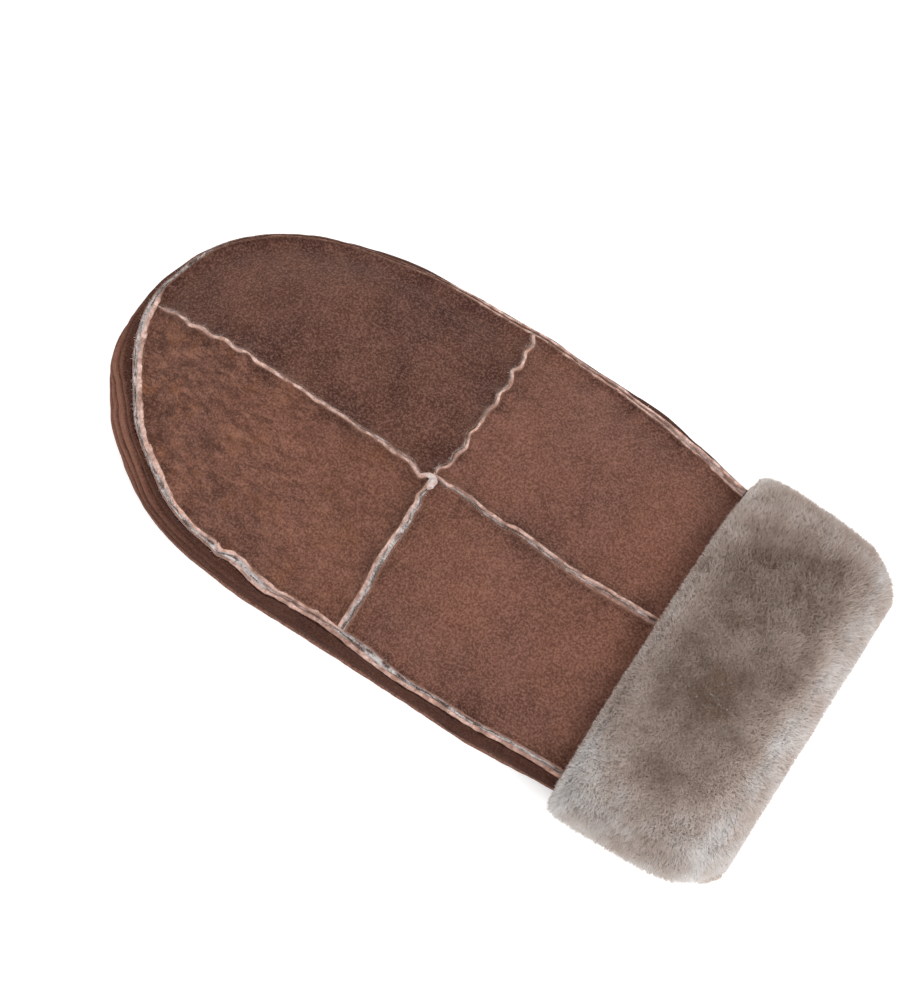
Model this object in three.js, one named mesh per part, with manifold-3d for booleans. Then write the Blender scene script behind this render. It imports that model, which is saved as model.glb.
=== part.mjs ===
// Sheepskin mitten: a patchwork suede back, a side band round the fingertips, a palm with its thumb
// folded underneath, raised raw-edge seams, a wool lining and a turned-back fur cuff.
// Millimetres. The mitten lies on z = 0 with the back of the hand up.
// s runs along the mitten from the fingertips to the mouth, and y across it; x = s - MID_S.
import * as THREE from 'three';
import { mergeVertices } from 'three/addons/utils/BufferGeometryUtils.js';
import Module from 'manifold-3d';

const wasm = await Module();
wasm.setup();

// ---------------------------------------------------------------- driving sizes
const MID_S = 132.6;        // s at the middle of the whole mitten
const MID_Y = -4.0;        // y at the middle of the whole mitten
const ARC_S = 90;           // s where the rounded tip runs out into the straight sides
const TIP_LEN = 83.5;       // from ARC_S to the edge seam at the very tip
const TIP_HALF = 59.4;      // half width of the back at ARC_S
const CROWN_POWER = 2.4;    // how flat the top of the back stays before it rolls to the edge
const SKIN = 1.8;           // thickness of the suede leather
const WOOL = 5.2;           // depth of the pressed wool inside
const GAP = 0.3;            // clearance between neighbouring pieces
const SEAM_HALF = 1.3;      // half width of a raised seam
const SEAM_HIGH = 2.6;      // height of a raised seam over the leather
const CUFF_S = 207.4;       // s where the fur cuff starts
const BODY_END = 260;       // s where the leather turns at the mouth
const RIM_S = 266.7;        // s at the end of the fur
const FLAT_Z = 0;           // the surface that the mitten lies on

const SPINE = [             // middle line of the body
  { s: -14, y: 3.9 }, { s: 6, y: 3.9 }, { s: 30, y: 2.3 }, { s: 60, y: 0.1 }, { s: 90, y: -0.3 },
  { s: 130, y: -0.3 }, { s: 150, y: -0.8 }, { s: 165, y: -1.4 }, { s: 185, y: -2.8 }, { s: 207, y: -4.2 }, { s: 275, y: -5.0 },
];
const BACK = [              // half width and crown height of the back along the straight part
  { s: 90, half: 59.4, crown: 43.0 }, { s: 120, half: 59.5, crown: 44.4 }, { s: 150, half: 60.0, crown: 44.6 },
  { s: 168, half: 60.2, crown: 44.4 }, { s: 185, half: 58.5, crown: 44.0 }, { s: 207, half: 55.8, crown: 43.2 },
  { s: 275, half: 55.0, crown: 42.6 },
];
// Round the edge: a is an angle in degrees over the tip (-90 near side, 0 tip, 90 far side) and
// beyond that the distance s along the near (-) or far (+) side.
const EDGE = [
  { a: -275, flare: 0.8, bulge: 0.8, top: 29.0, palm: 13.5 },
  { a: -225, flare: 0.8, bulge: 0.9, top: 29.3, palm: 12.6 },
  { a: -207, flare: 1.0, bulge: 2.0, top: 29.5, palm: 12.0 },
  { a: -183, flare: 1.0, bulge: 1.4, top: 30.0, palm: 9.8 },
  { a: -160, flare: 1.2, bulge: 1.6, top: 30.0, palm: 7.5 },
  { a: -130, flare: 2.2, bulge: 1.6, top: 30.0, palm: 6.2 },
  { a: -100, flare: 2.4, bulge: 1.5, top: 29.8, palm: 5.7 },
  { a: -80, flare: 3.0, bulge: 1.4, top: 29.0, palm: 5.5 },
  { a: -66, flare: 5.8, bulge: 1.2, top: 27.6, palm: 5.3 },
  { a: -55, flare: 8.0, bulge: 1.2, top: 26.6, palm: 5.2 },
  { a: -35, flare: 9.2, bulge: 1.2, top: 24.6, palm: 4.9 },
  { a: -18, flare: 8.0, bulge: 1.2, top: 23.2, palm: 4.8 },
  { a: 0, flare: 5.9, bulge: 1.4, top: 22.5, palm: 4.8 },
  { a: 35, flare: 3.4, bulge: 1.3, top: 24.0, palm: 5.0 },
  { a: 90, flare: 2.0, bulge: 1.2, top: 29.5, palm: 5.6 },
  { a: 160, flare: 1.6, bulge: 1.3, top: 30.0, palm: 7.5 },
  { a: 207, flare: 1.2, bulge: 1.6, top: 29.5, palm: 12.0 },
  { a: 225, flare: 0.8, bulge: 0.9, top: 29.3, palm: 12.6 },
  { a: 275, flare: 0.8, bulge: 0.8, top: 29.0, palm: 13.5 },
];
const PALM = [              // height of the palm's underside along its middle, away from the thumb
  { s: 90, z: 7.6 }, { s: 150, z: 9.0 }, { s: 190, z: 12.4 }, { s: 207, z: 13.2 }, { s: 275, z: 13.6 },
];
const SEAM_LINE = [         // the lengthwise seam of the back
  { s: 4, y: 1.2 }, { s: 20, y: 1.8 }, { s: 45, y: 1.6 }, { s: 72, y: -1.2 }, { s: 112, y: -2.2 },
  { s: 121, y: -3.4 }, { s: 135, y: -3.1 }, { s: 165, y: -3.1 }, { s: 206, y: -2.8 }, { s: 262, y: -2.8 },
];
const CROSS_LINE = [        // the seam across the back
  { y: -64, s: 120.4 }, { y: -30, s: 121.2 }, { y: -8, s: 121.6 }, { y: 0, s: 122.8 }, { y: 12, s: 124.2 },
  { y: 30, s: 123.9 }, { y: 50, s: 122.4 }, { y: 64, s: 120.4 },
];
const THUMB = { s0: 180, y0: 22, s1: 126, y1: 2, half0: 19, half1: 17, top: 14.8, skin: 2.2 };
const THUMB_HOLE = { s: 172, y: 19.2, long: 21, wide: 11.5 };
const CUFF = [              // fur over the leather at each station: on top and underneath, and at the sides
  { s: 207.4, over: 8.0, side: 5.4 }, { s: 208.6, over: 10.2, side: 7.2 }, { s: 213, over: 11.9, side: 8.6 },
  { s: 222, over: 12.6, side: 9.3 }, { s: 240, over: 12.6, side: 8.7 }, { s: 252, over: 11.6, side: 7.2 },
  { s: 258.6, over: 9.2, side: 4.0 }, { s: 263, over: 6.0, side: 0.0 }, { s: 265.5, over: 2.4, side: -3.6 },
  { s: 266.7, over: -1.2, side: -7.0 },
];

// ---------------------------------------------------------------- small functions
function curveOf(rows, xcol, ycol) {        // monotone cubic through the rows of a table
  const x = rows.map(r => r[xcol]), y = rows.map(r => r[ycol]), n = x.length;
  const d = [], m = new Array(n).fill(0);
  for (let i = 0; i < n - 1; i++) d.push((y[i + 1] - y[i]) / (x[i + 1] - x[i]));
  m[0] = d[0]; m[n - 1] = d[n - 2];
  for (let i = 1; i < n - 1; i++) m[i] = d[i - 1] * d[i] <= 0 ? 0 : 2 * d[i - 1] * d[i] / (d[i - 1] + d[i]);
  return t => {
    if (t <= x[0]) return y[0];
    if (t >= x[n - 1]) return y[n - 1];
    let i = 0;
    while (t > x[i + 1]) i++;
    const h = x[i + 1] - x[i], u = (t - x[i]) / h, u2 = u * u, u3 = u2 * u;
    return (2 * u3 - 3 * u2 + 1) * y[i] + (u3 - 2 * u2 + u) * h * m[i] + (3 * u2 - 2 * u3) * y[i + 1] + (u3 - u2) * h * m[i + 1];
  };
}
const smooth = u => { const t = Math.min(1, Math.max(0, u)); return t * t * (3 - 2 * t); };
const lerp = (p, q, u) => p + (q - p) * u;
const steps = (p, q, n) => Array.from({ length: n + 1 }, (_, i) => lerp(p, q, i / n));

const spine = curveOf(SPINE, 's', 'y');
const backHalf = curveOf(BACK, 's', 'half');
const crown = curveOf(BACK, 's', 'crown');
const palmMid = curveOf(PALM, 's', 'z');
const flare = curveOf(EDGE, 'a', 'flare');
const bulge = curveOf(EDGE, 'a', 'bulge');
const edgeTop = curveOf(EDGE, 'a', 'top');
const edgePalm = curveOf(EDGE, 'a', 'palm');
const seamLine = curveOf(SEAM_LINE, 's', 'y');
const crossLine = curveOf(CROSS_LINE, 'y', 's');
const cuffOver = curveOf(CUFF, 's', 'over');
const cuffSide = curveOf(CUFF, 's', 'side');

// ---------------------------------------------------------------- the body's surfaces
// Radius of the back's plan outline at edge place a, measured from the spine.
function radius(a) {
  if (Math.abs(a) <= 90) {
    const p = a * Math.PI / 180;
    return Math.hypot(TIP_LEN * Math.cos(p), TIP_HALF * Math.sin(p));
  }
  return backHalf(Math.abs(a));
}
// Plan point at edge place a and share r of the radius (1 is the edge seam).
function plan(a, r) {
  if (Math.abs(a) <= 90) {
    const p = a * Math.PI / 180, s = ARC_S - r * TIP_LEN * Math.cos(p);
    return [s, spine(s) + r * TIP_HALF * Math.sin(p)];
  }
  const s = Math.abs(a);
  return [s, spine(s) + Math.sign(a) * r * backHalf(s)];
}
// Edge place and share for a plan point.
function place(s, y) {
  const v = y - spine(s);
  if (s >= ARC_S) return [(v < 0 ? -1 : 1) * s, Math.abs(v) / backHalf(s)];
  const p = (ARC_S - s) / TIP_LEN, q = v / TIP_HALF;
  return [Math.atan2(q, p) * 180 / Math.PI, Math.hypot(p, q)];
}
function backZ(a, r) {                       // outside of the back
  const top = crown(Math.max(ARC_S, Math.abs(a)));
  return top + (edgeTop(a) - top) * Math.pow(r, CROWN_POWER);
}
function thumbLift(s, y) {                   // 1 over the thumb, fading to 0 beside it
  const ds = THUMB.s1 - THUMB.s0, dy = THUMB.y1 - THUMB.y0;
  const u = Math.min(1, Math.max(0, ((s - THUMB.s0) * ds + (y - THUMB.y0) * dy) / (ds * ds + dy * dy)));
  const d = Math.hypot(s - THUMB.s0 - u * ds, y - THUMB.y0 - u * dy);
  return smooth((44 - d) / 26) * smooth((207 - s) / 14);
}
function palmZ(a, q) {                       // underside of the palm; q is the share of the palm's own radius
  const [s, y] = plan(a, q * (1 + flare(a) / radius(a)));
  const mid = palmMid(Math.max(ARC_S, Math.abs(a)));
  const flat = mid + (edgePalm(a) - mid) * q * q;
  return lerp(flat, Math.max(flat, THUMB.top + 0.8), thumbLift(s, y) * (1 - smooth((q - 0.7) / 0.28)));
}
// A point of the body from edge place a, distance n outside the edge seam and height z.
const outward = (a, n, z) => { const [s, y] = plan(a, 1 + n / radius(a)); return [s, y, z]; };
// Middle of the side band's leather: t = 0 at the back's seam, 1 at the palm's seam.
const bandN = (a, t) => 1.0 + (flare(a) - 0.9) * t + bulge(a) * Math.sin(Math.PI * t);
const bandZ = (a, t) => lerp(edgeTop(a) - 1.6, edgePalm(a) + SKIN + GAP + 0.4, t);

// ---------------------------------------------------------------- mesh building
function geometryOf(points, faces) {
  const flat = [];
  for (const [i, j, k] of faces) for (const v of [i, j, k]) flat.push(points[v][0] - MID_S, points[v][1] - MID_Y, points[v][2]);
  let g = new THREE.BufferGeometry();
  g.setAttribute('position', new THREE.Float32BufferAttribute(flat, 3));
  g = mergeVertices(g, 1e-3);
  const src = g.index.array, keep = [];
  for (let i = 0; i < src.length; i += 3) {
    if (src[i] !== src[i + 1] && src[i + 1] !== src[i + 2] && src[i + 2] !== src[i]) keep.push(src[i], src[i + 1], src[i + 2]);
  }
  g.setIndex(keep);
  return facingOut(g);
}
function facingOut(g) {                      // turns the faces over if the volume comes out negative
  const p = g.attributes.position.array, ix = g.index.array;
  let v = 0;
  for (let i = 0; i < ix.length; i += 3) {
    const [a, b, c] = [ix[i] * 3, ix[i + 1] * 3, ix[i + 2] * 3];
    v += p[a] * (p[b + 1] * p[c + 2] - p[b + 2] * p[c + 1]) - p[a + 1] * (p[b] * p[c + 2] - p[b + 2] * p[c]) + p[a + 2] * (p[b] * p[c + 1] - p[b + 1] * p[c]);
  }
  if (v < 0) {
    const out = Array.from(ix);
    for (let i = 0; i < out.length; i += 3) [out[i], out[i + 1]] = [out[i + 1], out[i]];
    g.setIndex(out);
  }
  return g;
}
function quad(faces, a, b, c, d) { faces.push([a, b, c], [a, c, d]); }
// Sheet from a grid of outer points and the matching grid of inner points, closed round its border.
function sheetOf(outer, inner) {
  const n = outer.length, m = outer[0].length, points = [], faces = [];
  for (const grid of [outer, inner]) for (const row of grid) points.push(...row);
  const at = (g, i, j) => g * n * m + i * m + j;
  for (let i = 0; i < n - 1; i++) for (let j = 0; j < m - 1; j++) {
    quad(faces, at(0, i, j), at(0, i + 1, j), at(0, i + 1, j + 1), at(0, i, j + 1));
    quad(faces, at(1, i, j), at(1, i, j + 1), at(1, i + 1, j + 1), at(1, i + 1, j));
  }
  for (let i = 0; i < n - 1; i++) {
    quad(faces, at(0, i + 1, 0), at(0, i, 0), at(1, i, 0), at(1, i + 1, 0));
    quad(faces, at(0, i, m - 1), at(0, i + 1, m - 1), at(1, i + 1, m - 1), at(1, i, m - 1));
  }
  for (let j = 0; j < m - 1; j++) {
    quad(faces, at(0, 0, j), at(0, 0, j + 1), at(1, 0, j + 1), at(1, 0, j));
    quad(faces, at(0, n - 1, j + 1), at(0, n - 1, j), at(1, n - 1, j), at(1, n - 1, j + 1));
  }
  return geometryOf(points, faces);
}
// Solid from a row of closed sections, with flat fans at both ends (or joined into a ring).
function loftOf(sections, ring = false) {
  const n = sections.length, m = sections[0].length, points = [], faces = [];
  for (const sec of sections) points.push(...sec);
  const last = ring ? n : n - 1;
  for (let i = 0; i < last; i++) for (let j = 0; j < m; j++) {
    const k = (i + 1) % n, l = (j + 1) % m;
    quad(faces, i * m + j, k * m + j, k * m + l, i * m + l);
  }
  if (!ring) for (const [row, flip] of [[0, false], [n - 1, true]]) {
    const mid = points.length, sum = [0, 0, 0];
    for (const p of sections[row]) for (let c = 0; c < 3; c++) sum[c] += p[c] / m;
    points.push(sum);
    for (let j = 0; j < m; j++) {
      const a = row * m + j, b = row * m + (j + 1) % m;
      faces.push(flip ? [mid, b, a] : [mid, a, b]);
    }
  }
  return geometryOf(points, faces);
}
// Closed pouch from profiles taken round the edge: each profile runs from the spine on top to the
// spine underneath. The tip is closed by the profiles meeting, and the mouth by a flat face.
function pouchOf(places, profile) {
  const rows = places.map(profile), m = rows[0].length, n = rows.length, points = [], faces = [];
  for (const row of rows) points.push(...row);
  for (let i = 0; i < n - 1; i++) for (let j = 0; j < m - 1; j++) quad(faces, i * m + j, i * m + j + 1, (i + 1) * m + j + 1, (i + 1) * m + j);
  for (let j = 0; j < m - 1; j++) quad(faces, (n - 1) * m + j, (n - 1) * m + j + 1, j + 1, j);
  return geometryOf(points, faces);
}
const toSolid = g => new wasm.Manifold(new wasm.Mesh({
  numProp: 3, vertProperties: new Float32Array(g.attributes.position.array), triVerts: new Uint32Array(g.index.array),
}));
function fromSolid(m) {
  const mesh = m.getMesh(), g = new THREE.BufferGeometry();
  g.setAttribute('position', new THREE.BufferAttribute(new Float32Array(mesh.vertProperties), 3));
  g.setIndex(Array.from(mesh.triVerts));
  return g;
}

// ---------------------------------------------------------------- the back's four patches
const patchRows = { tip: 11, wrist: 7 }, patchCols = 8;
function patch(side, end) {
  const n = end === 'tip' ? patchRows.tip : patchRows.wrist, outer = [], inner = [];
  for (let i = 0; i <= n; i++) {
    const ro = [], ri = [];
    for (let j = 0; j <= patchCols; j++) {
      const b = j / patchCols;
      const bb = Math.pow(b, 0.85);
      // first the row's own s, bent to the cross seam where it comes near it
      const edgeY = spine(122) + side * backHalf(122);
      const yRef = lerp(seamLine(122), edgeY, bb);
      const sx = crossLine(yRef) + (end === 'tip' ? -0.25 : 0.25);
      let s;
      if (end === 'tip') {
        const u = 1 - Math.cos(Math.PI * 0.5 * i / n);
        s = lerp(ARC_S - TIP_LEN + 0.45, 122, u);
        s += (sx - 122) * Math.pow(u, 3);
      } else {
        const u = i / n;
        s = lerp(sx, BODY_END, u);
      }
      const share = s >= ARC_S ? 1 : Math.sqrt(Math.max(0.0001, 1 - Math.pow((ARC_S - s) / (TIP_LEN - 0.25), 2)));
      const half = (s >= ARC_S ? backHalf(s) : TIP_HALF) - 0.25;
      const yOut = spine(s) + side * half * share, yIn = seamLine(s) + side * 0.25;
      const y = lerp(yIn, yOut, bb), [a, r] = place(s, y), z = backZ(a, r);
      ro.push([s, y, z]); ri.push([s, y, z - SKIN]);
    }
    outer.push(ro); inner.push(ri);
  }
  return sheetOf(outer, inner);
}

// ---------------------------------------------------------------- the side band
const tipPlaces = steps(-80, 80, 16);
const bandPlaces = [...steps(-BODY_END, -ARC_S, 10), ...tipPlaces, ...steps(ARC_S, BODY_END, 10)];
function band() {
  const ts = steps(0, 1, 5), outer = [], inner = [];
  for (const a of bandPlaces) {
    const ro = [], ri = [];
    for (const t of ts) {
      const e = 0.02, dn = bandN(a, t + e) - bandN(a, t - e), dz = bandZ(a, t + e) - bandZ(a, t - e), l = Math.hypot(dn, dz);
      const nn = -dz / l, nz = dn / l, h = SKIN / 2, n0 = bandN(a, t), z0 = bandZ(a, t);
      const level = t === 0 || t === 1;      // the two ends are cut level
      ro.push(outward(a, n0 + nn * h, level ? z0 : z0 + nz * h));
      ri.push(outward(a, n0 - nn * h, level ? z0 : z0 - nz * h));
    }
    outer.push(ro); inner.push(ri);
  }
  return sheetOf(outer, inner);
}

// ---------------------------------------------------------------- the palm
const palmPlaces = [...steps(-BODY_END, -ARC_S, 11), ...tipPlaces, ...steps(ARC_S, BODY_END, 11)];
const palmShares = [0, 0.17, 0.34, 0.52, 0.7, 0.86, 1];
function palm() {
  // under the palm first, then over it: a flat pouch as thick as the leather
  const qs = palmShares;
  const profile = a => {
    const edge = 1 + (flare(a) - 0.3) / radius(a), out = [];
    for (const q of qs) { const [s, y] = plan(a, q * edge); out.push([s, y, palmZ(a, q)]); }
    for (const q of [...qs].reverse()) { const [s, y] = plan(a, q * edge); out.push([s, y, palmZ(a, q) + SKIN]); }
    return out;
  };
  return toSolid(pouchOf(palmPlaces, profile)).subtract(thumbHole(4, 26));
}

// ---------------------------------------------------------------- the thumb
function thumbFrame() {
  const l = Math.hypot(THUMB.s1 - THUMB.s0, THUMB.y1 - THUMB.y0);
  return { l, es: (THUMB.s1 - THUMB.s0) / l, ey: (THUMB.y1 - THUMB.y0) / l };
}
const thumbPoint = (e, w, z) => {            // e along the thumb from its base centre, w across it
  const f = thumbFrame();
  return [THUMB.s0 + f.es * e - f.ey * w, THUMB.y0 + f.ey * e + f.es * w, z];
};
function thumbWide(e, inset) {               // half width along the thumb, round at both ends
  const { l } = thumbFrame(), h0 = THUMB.half0 - inset, h1 = THUMB.half1 - inset;
  if (e < 0) return h0 * Math.sqrt(Math.max(0, 1 - Math.pow(e / h0, 2)));
  if (e > l) return h1 * Math.sqrt(Math.max(0, 1 - Math.pow((e - l) / h1, 2)));
  return lerp(h0, h1, e / l);
}
function thumbLoft(inset) {
  const { l } = thumbFrame(), h0 = THUMB.half0 - inset, h1 = THUMB.half1 - inset, sections = [];
  const es = [];
  for (const p of [0.985, 0.9, 0.7, 0.4]) es.push(-h0 * p);
  es.push(...steps(0, l, 4));
  for (const p of [0.4, 0.7, 0.9, 0.985]) es.push(l + h1 * p);
  for (const e of es) {
    const w = thumbWide(e, inset), cap = Math.min(1, Math.pow(w / (0.62 * h0), 0.7));
    const zc = 6.6, high = (THUMB.top - zc - inset) * cap, low = (8.2 - inset) * cap, sec = [];
    for (let k = 0; k < 14; k++) {
      const q = (k + 0.5) / 14 * 2 * Math.PI, c = Math.cos(q), n = Math.sin(q);
      const y = Math.sign(c) * Math.pow(Math.abs(c), 0.8) * w;
      const z = zc + Math.sign(n) * Math.pow(Math.abs(n), 0.8) * (n > 0 ? high : low);
      sec.push(thumbPoint(e, y, Math.max(FLAT_Z + inset, z)));
    }
    sections.push(sec);
  }
  return toSolid(loftOf(sections));
}
function thumbHole(z0, z1) {                 // the way from the hand into the thumb
  const { es, ey } = thumbFrame(), sections = [];
  for (const z of [z0, z1]) {
    const sec = [];
    for (let k = 0; k < 16; k++) {
      const q = k / 16 * 2 * Math.PI, u = THUMB_HOLE.long * Math.cos(q), w = THUMB_HOLE.wide * Math.sin(q);
      sec.push([THUMB_HOLE.s + es * u - ey * w, THUMB_HOLE.y + ey * u + es * w, z]);
    }
    sections.push(sec);
  }
  return toSolid(loftOf(sections));
}
const thumb = () => thumbLoft(0).subtract(thumbLoft(THUMB.skin)).subtract(thumbHole(8, 20));

// ---------------------------------------------------------------- the raised seams
// Closed section swept along stations; each station gives points of the section.
function welt(stations) { return loftOf(stations); }
function edgeWelt() {                        // round the back, standing up and a little outwards
  const places = [...steps(-206.9, -ARC_S, 9), ...tipPlaces, ...steps(ARC_S, 206.9, 9)];
  return welt(places.map(a => {
    const z = edgeTop(a), h = SEAM_HALF + 0.2;
    return [[-h, z + 1.15], [-h + 0.1, z + SEAM_HIGH + 0.3], [0, z + SEAM_HIGH + 0.7], [h, z + SEAM_HIGH], [h + 0.2, z + 0.1], [0.1, z + GAP + 0.15]]
      .map(([n, zz]) => outward(a, n, zz));
  }));
}
function palmWelt() {                        // round the palm, pointing outwards
  const places = [...steps(-206.9, -ARC_S, 9), ...tipPlaces, ...steps(ARC_S, 206.9, 9)];
  return welt(places.map(a => {
    const z = edgePalm(a), f = flare(a);
    return [[f + 0.05, z - 0.7], [f + 0.05, z + SKIN], [f + 1.4, z + SKIN], [f + 2.1, z + 0.7], [f + 1.4, z - 0.9]]
      .map(([n, zz]) => outward(a, n, zz));
  }));
}
function topWelt(path, h) {                  // over the back, along a plan path
  const stations = path.map(([s, y], i) => {
    const p = path[Math.max(0, i - 1)], q = path[Math.min(path.length - 1, i + 1)];
    const l = Math.hypot(q[0] - p[0], q[1] - p[1]), ts = (q[0] - p[0]) / l, ty = (q[1] - p[1]) / l;
    const rise = w => { const [a, r] = place(s - ty * w, y + ts * w); return backZ(a, r); };
    return [[-h, 0.35], [-h * 0.9, SEAM_HIGH * 0.75], [-h * 0.35, SEAM_HIGH], [h * 0.35, SEAM_HIGH], [h * 0.9, SEAM_HIGH * 0.75], [h, 0.35], [0, 0.3]]
      .map(([w, up]) => [s - ty * w, y + ts * w, rise(w) + up]);
  });
  return welt(stations);
}
const lengthPath = steps(ARC_S - TIP_LEN + 3.0, 206.9, 20).map(s => [s, seamLine(s)]);
const crossPath = side => {
  const y0 = seamLine(122) + side * (SEAM_HALF + GAP + 0.25), y1 = spine(122) + side * (backHalf(122) - SEAM_HALF - 0.9);
  return steps(y0, y1, 10).map(y => [crossLine(y), y]);
};
function thumbWelt() {                       // round the thumb at half its height
  const { l } = thumbFrame(), path = [];
  for (let k = 0; k <= 8; k++) { const q = Math.PI / 2 + k / 8 * Math.PI; path.push([0, q, THUMB.half0]); }
  for (let k = 0; k <= 8; k++) { const q = -Math.PI / 2 + k / 8 * Math.PI; path.push([l, q, THUMB.half1]); }
  return loftOf(path.map(([e0, q, h]) => [[h + 0.45, 5.6], [h + 0.45, 7.8], [h + 2.2, 7.6], [h + 2.2, 5.8]]
    .map(([rr, z]) => thumbPoint(e0 + rr * Math.cos(q), rr * Math.sin(q), z))), true);
}

// ---------------------------------------------------------------- the wool lining and the hollow
function liningProfile(a) {
  const out = [], R = radius(a), et = edgeTop(a), ep = edgePalm(a);
  for (const r of [0, 0.34, 0.62, 0.82, 0.95]) { const [s, y] = plan(a, r); out.push([s, y, backZ(a, r) - SKIN - 0.6]); }
  for (const [t, back] of [[0.22, 1.9], [0.5, 1.9], [0.82, 2.4]]) out.push(outward(a, bandN(a, t) - back, bandZ(a, t)));
  for (const q of [...palmShares].reverse().slice(1)) {
    const [s, y] = plan(a, q * (1 + (flare(a) - 0.3) / R));
    out.push([s, y, palmZ(a, q) + SKIN + 0.9]);
  }
  return out;
}
// The hollow for the hand: z between the two wool faces, closing to a point at its sides.
function hollowProfile(a) {
  const R = radius(a), arc = Math.abs(a) <= 90, s = Math.abs(a);
  const inset = arc ? lerp(9, 7, Math.abs(a) / 90) : 7;
  const open = arc ? 0 : smooth((s - 250) / 16);
  const edge = 1 - (inset - 3 * open) / R, hi = [], lo = [];
  for (const b of [0, 28, 52, 74, 90]) {
    const q = Math.sin(b * Math.PI / 180), r = q * edge, [ps, py] = plan(a, r);
    const top = backZ(a, r) - SKIN - 0.5 - WOOL, bot = palmZ(a, r / (1 + flare(a) / R)) + SKIN + 0.9 + WOOL;
    const mid = (top + bot) / 2, h = ((top - bot) / 2 + 3.4 * open) * Math.sqrt(Math.max(0, 1 - Math.pow(q, 4)));
    hi.push([ps, py, mid + h]);
    if (b < 90) lo.push([ps, py, mid - h]);
  }
  return [...hi, ...lo.reverse()];
}
function hollowMid(s, y) {                   // middle height of the hollow over a plan point
  const [a, r] = place(s, y), q = Math.min(r, 1 - 7 / radius(a));
  return (backZ(a, q) + palmZ(a, q) + 0.4) / 2;
}
const HOLLOW_S = [272, 266, 260, 253, 240, 218, 196, 174, 152, 130, 110, 90];
const hollow = () => toSolid(pouchOf([...HOLLOW_S.map(s => -s), ...steps(-72, 72, 8), ...[...HOLLOW_S].reverse()], hollowProfile));
// Everything below the hollow's middle height, moved up by dz.
function lowerHalf(dz) {
  const outer = [], inner = [], ys = [-90, -54, -38, -12, 10, 34, 52, 90];
  for (const s of [-12, 8, 28, 56, 90, 130, 170, 215, 262, 280]) {
    outer.push(ys.map(y => [s, y, hollowMid(s, y) + dz])); inner.push(ys.map(y => [s, y, -4]));
  }
  return toSolid(sheetOf(outer, inner));
}
// Each hide carries its own wool: the back's above the hollow, the palm's below it.
const woolPouch = () => toSolid(pouchOf(palmPlaces, liningProfile)).subtract(hollow());
const woolBack = () => woolPouch().subtract(lowerHalf(GAP / 2));
const woolPalm = () => woolPouch().intersect(lowerHalf(-GAP / 2)).subtract(thumbHole(12, 29));

// ---------------------------------------------------------------- the fur cuff
// Closed line round the body at s, moved out by (side, over).
function girth(s, side, over) {
  const half = sign => {
    const a = sign * s, R = radius(a), pts = [];
    for (const r of [0, 0.2, 0.4, 0.58, 0.74, 0.88]) pts.push([r * R, backZ(a, r)]);
    pts.push([R * 0.975, edgeTop(a) + 1.2]);
    for (const t of [0.12, 0.36, 0.62, 0.88]) pts.push([R + bandN(a, t) + SKIN / 2, bandZ(a, t)]);
    for (const q of [1, ...[...palmShares].reverse().slice(1)]) pts.push([q * (R + flare(a)), palmZ(a, q)]);
    return pts.map(([n, z]) => [sign * n, z]);
  };
  const far = half(1), near = half(-1).slice(1, -1).reverse(), loop = [...far, ...near], m = loop.length;
  return loop.map(([n, z], i) => {
    const p = loop[(i + m - 1) % m], q = loop[(i + 1) % m], l = Math.hypot(q[0] - p[0], q[1] - p[1]);
    const on = -(q[1] - p[1]) / l, oz = (q[0] - p[0]) / l;
    return [s, spine(s) + n + on * side, Math.max(FLAT_Z, z + oz * over * (oz < 0 ? 1.35 * Math.pow(-oz, 0.9) : 1))];
  });
}
function cuff() {
  const stations = [CUFF_S, 208.6, 211, 215, 222, 232, 243, 251, 256, 260, 262.5, 264.4, 265.7, RIM_S];
  const form = toSolid(loftOf(stations.map(s => girth(s, cuffSide(s) - 0.9, cuffOver(s)))));
  const body = toSolid(loftOf([200, 207.4, 211, 216, 223, 233, 246, BODY_END + GAP].map(s => girth(s, 0.8, 0.8))));
  return form.subtract(body).subtract(hollow());
}

// ---------------------------------------------------------------- the mitten
const SUEDE = { color: 0x6e483a, roughness: 0.92, metalness: 0 };
const SUEDE_DARK = { color: 0x5e3e35, roughness: 0.92, metalness: 0 };
const RAW_EDGE = { color: 0xcfae9f, roughness: 0.9, metalness: 0 };
const FUR = { color: 0x968a7e, roughness: 0.95, metalness: 0 };
const group = new THREE.Group();
function add(name, shape, look) {
  const g = shape.isBufferGeometry ? shape : fromSolid(shape);
  g.computeVertexNormals();
  const mesh = new THREE.Mesh(g, new THREE.MeshStandardMaterial(look));
  mesh.name = name;
  group.add(mesh);
}
add('back_tip_far', patch(1, 'tip'), SUEDE_DARK);
add('back_tip_near', patch(-1, 'tip'), SUEDE);
add('back_wrist_far', patch(1, 'wrist'), SUEDE);
add('back_wrist_near', patch(-1, 'wrist'), SUEDE);
add('side_band', band(), SUEDE);
add('palm_panel', palm(), SUEDE);
add('thumb', thumb(), SUEDE);
add('seam_edge_back', edgeWelt(), RAW_EDGE);
add('seam_edge_palm', palmWelt(), RAW_EDGE);
add('seam_length', topWelt(lengthPath, SEAM_HALF), RAW_EDGE);
add('seam_cross_far', topWelt(crossPath(1), SEAM_HALF * 0.9), RAW_EDGE);
add('seam_cross_near', topWelt(crossPath(-1), SEAM_HALF), RAW_EDGE);
add('seam_thumb', thumbWelt(), RAW_EDGE);
add('wool_back', woolBack(), FUR);
add('wool_palm', woolPalm(), FUR);
add('cuff_fur', cuff(), FUR);

export default group;
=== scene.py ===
# Sheepskin mitten lying palm down: a patchwork suede back, a side band, a palm with the thumb
# folded under it, raised raw-edge seams with wool between them, a wool lining and a fur cuff.
# Shapes are worked out in millimetres on the mitten's own lengths: s runs from the fingertips to
# the mouth and y across, and world metres are ((s - MID_S), (y - MID_Y), z) / 1000.
import math

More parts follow.
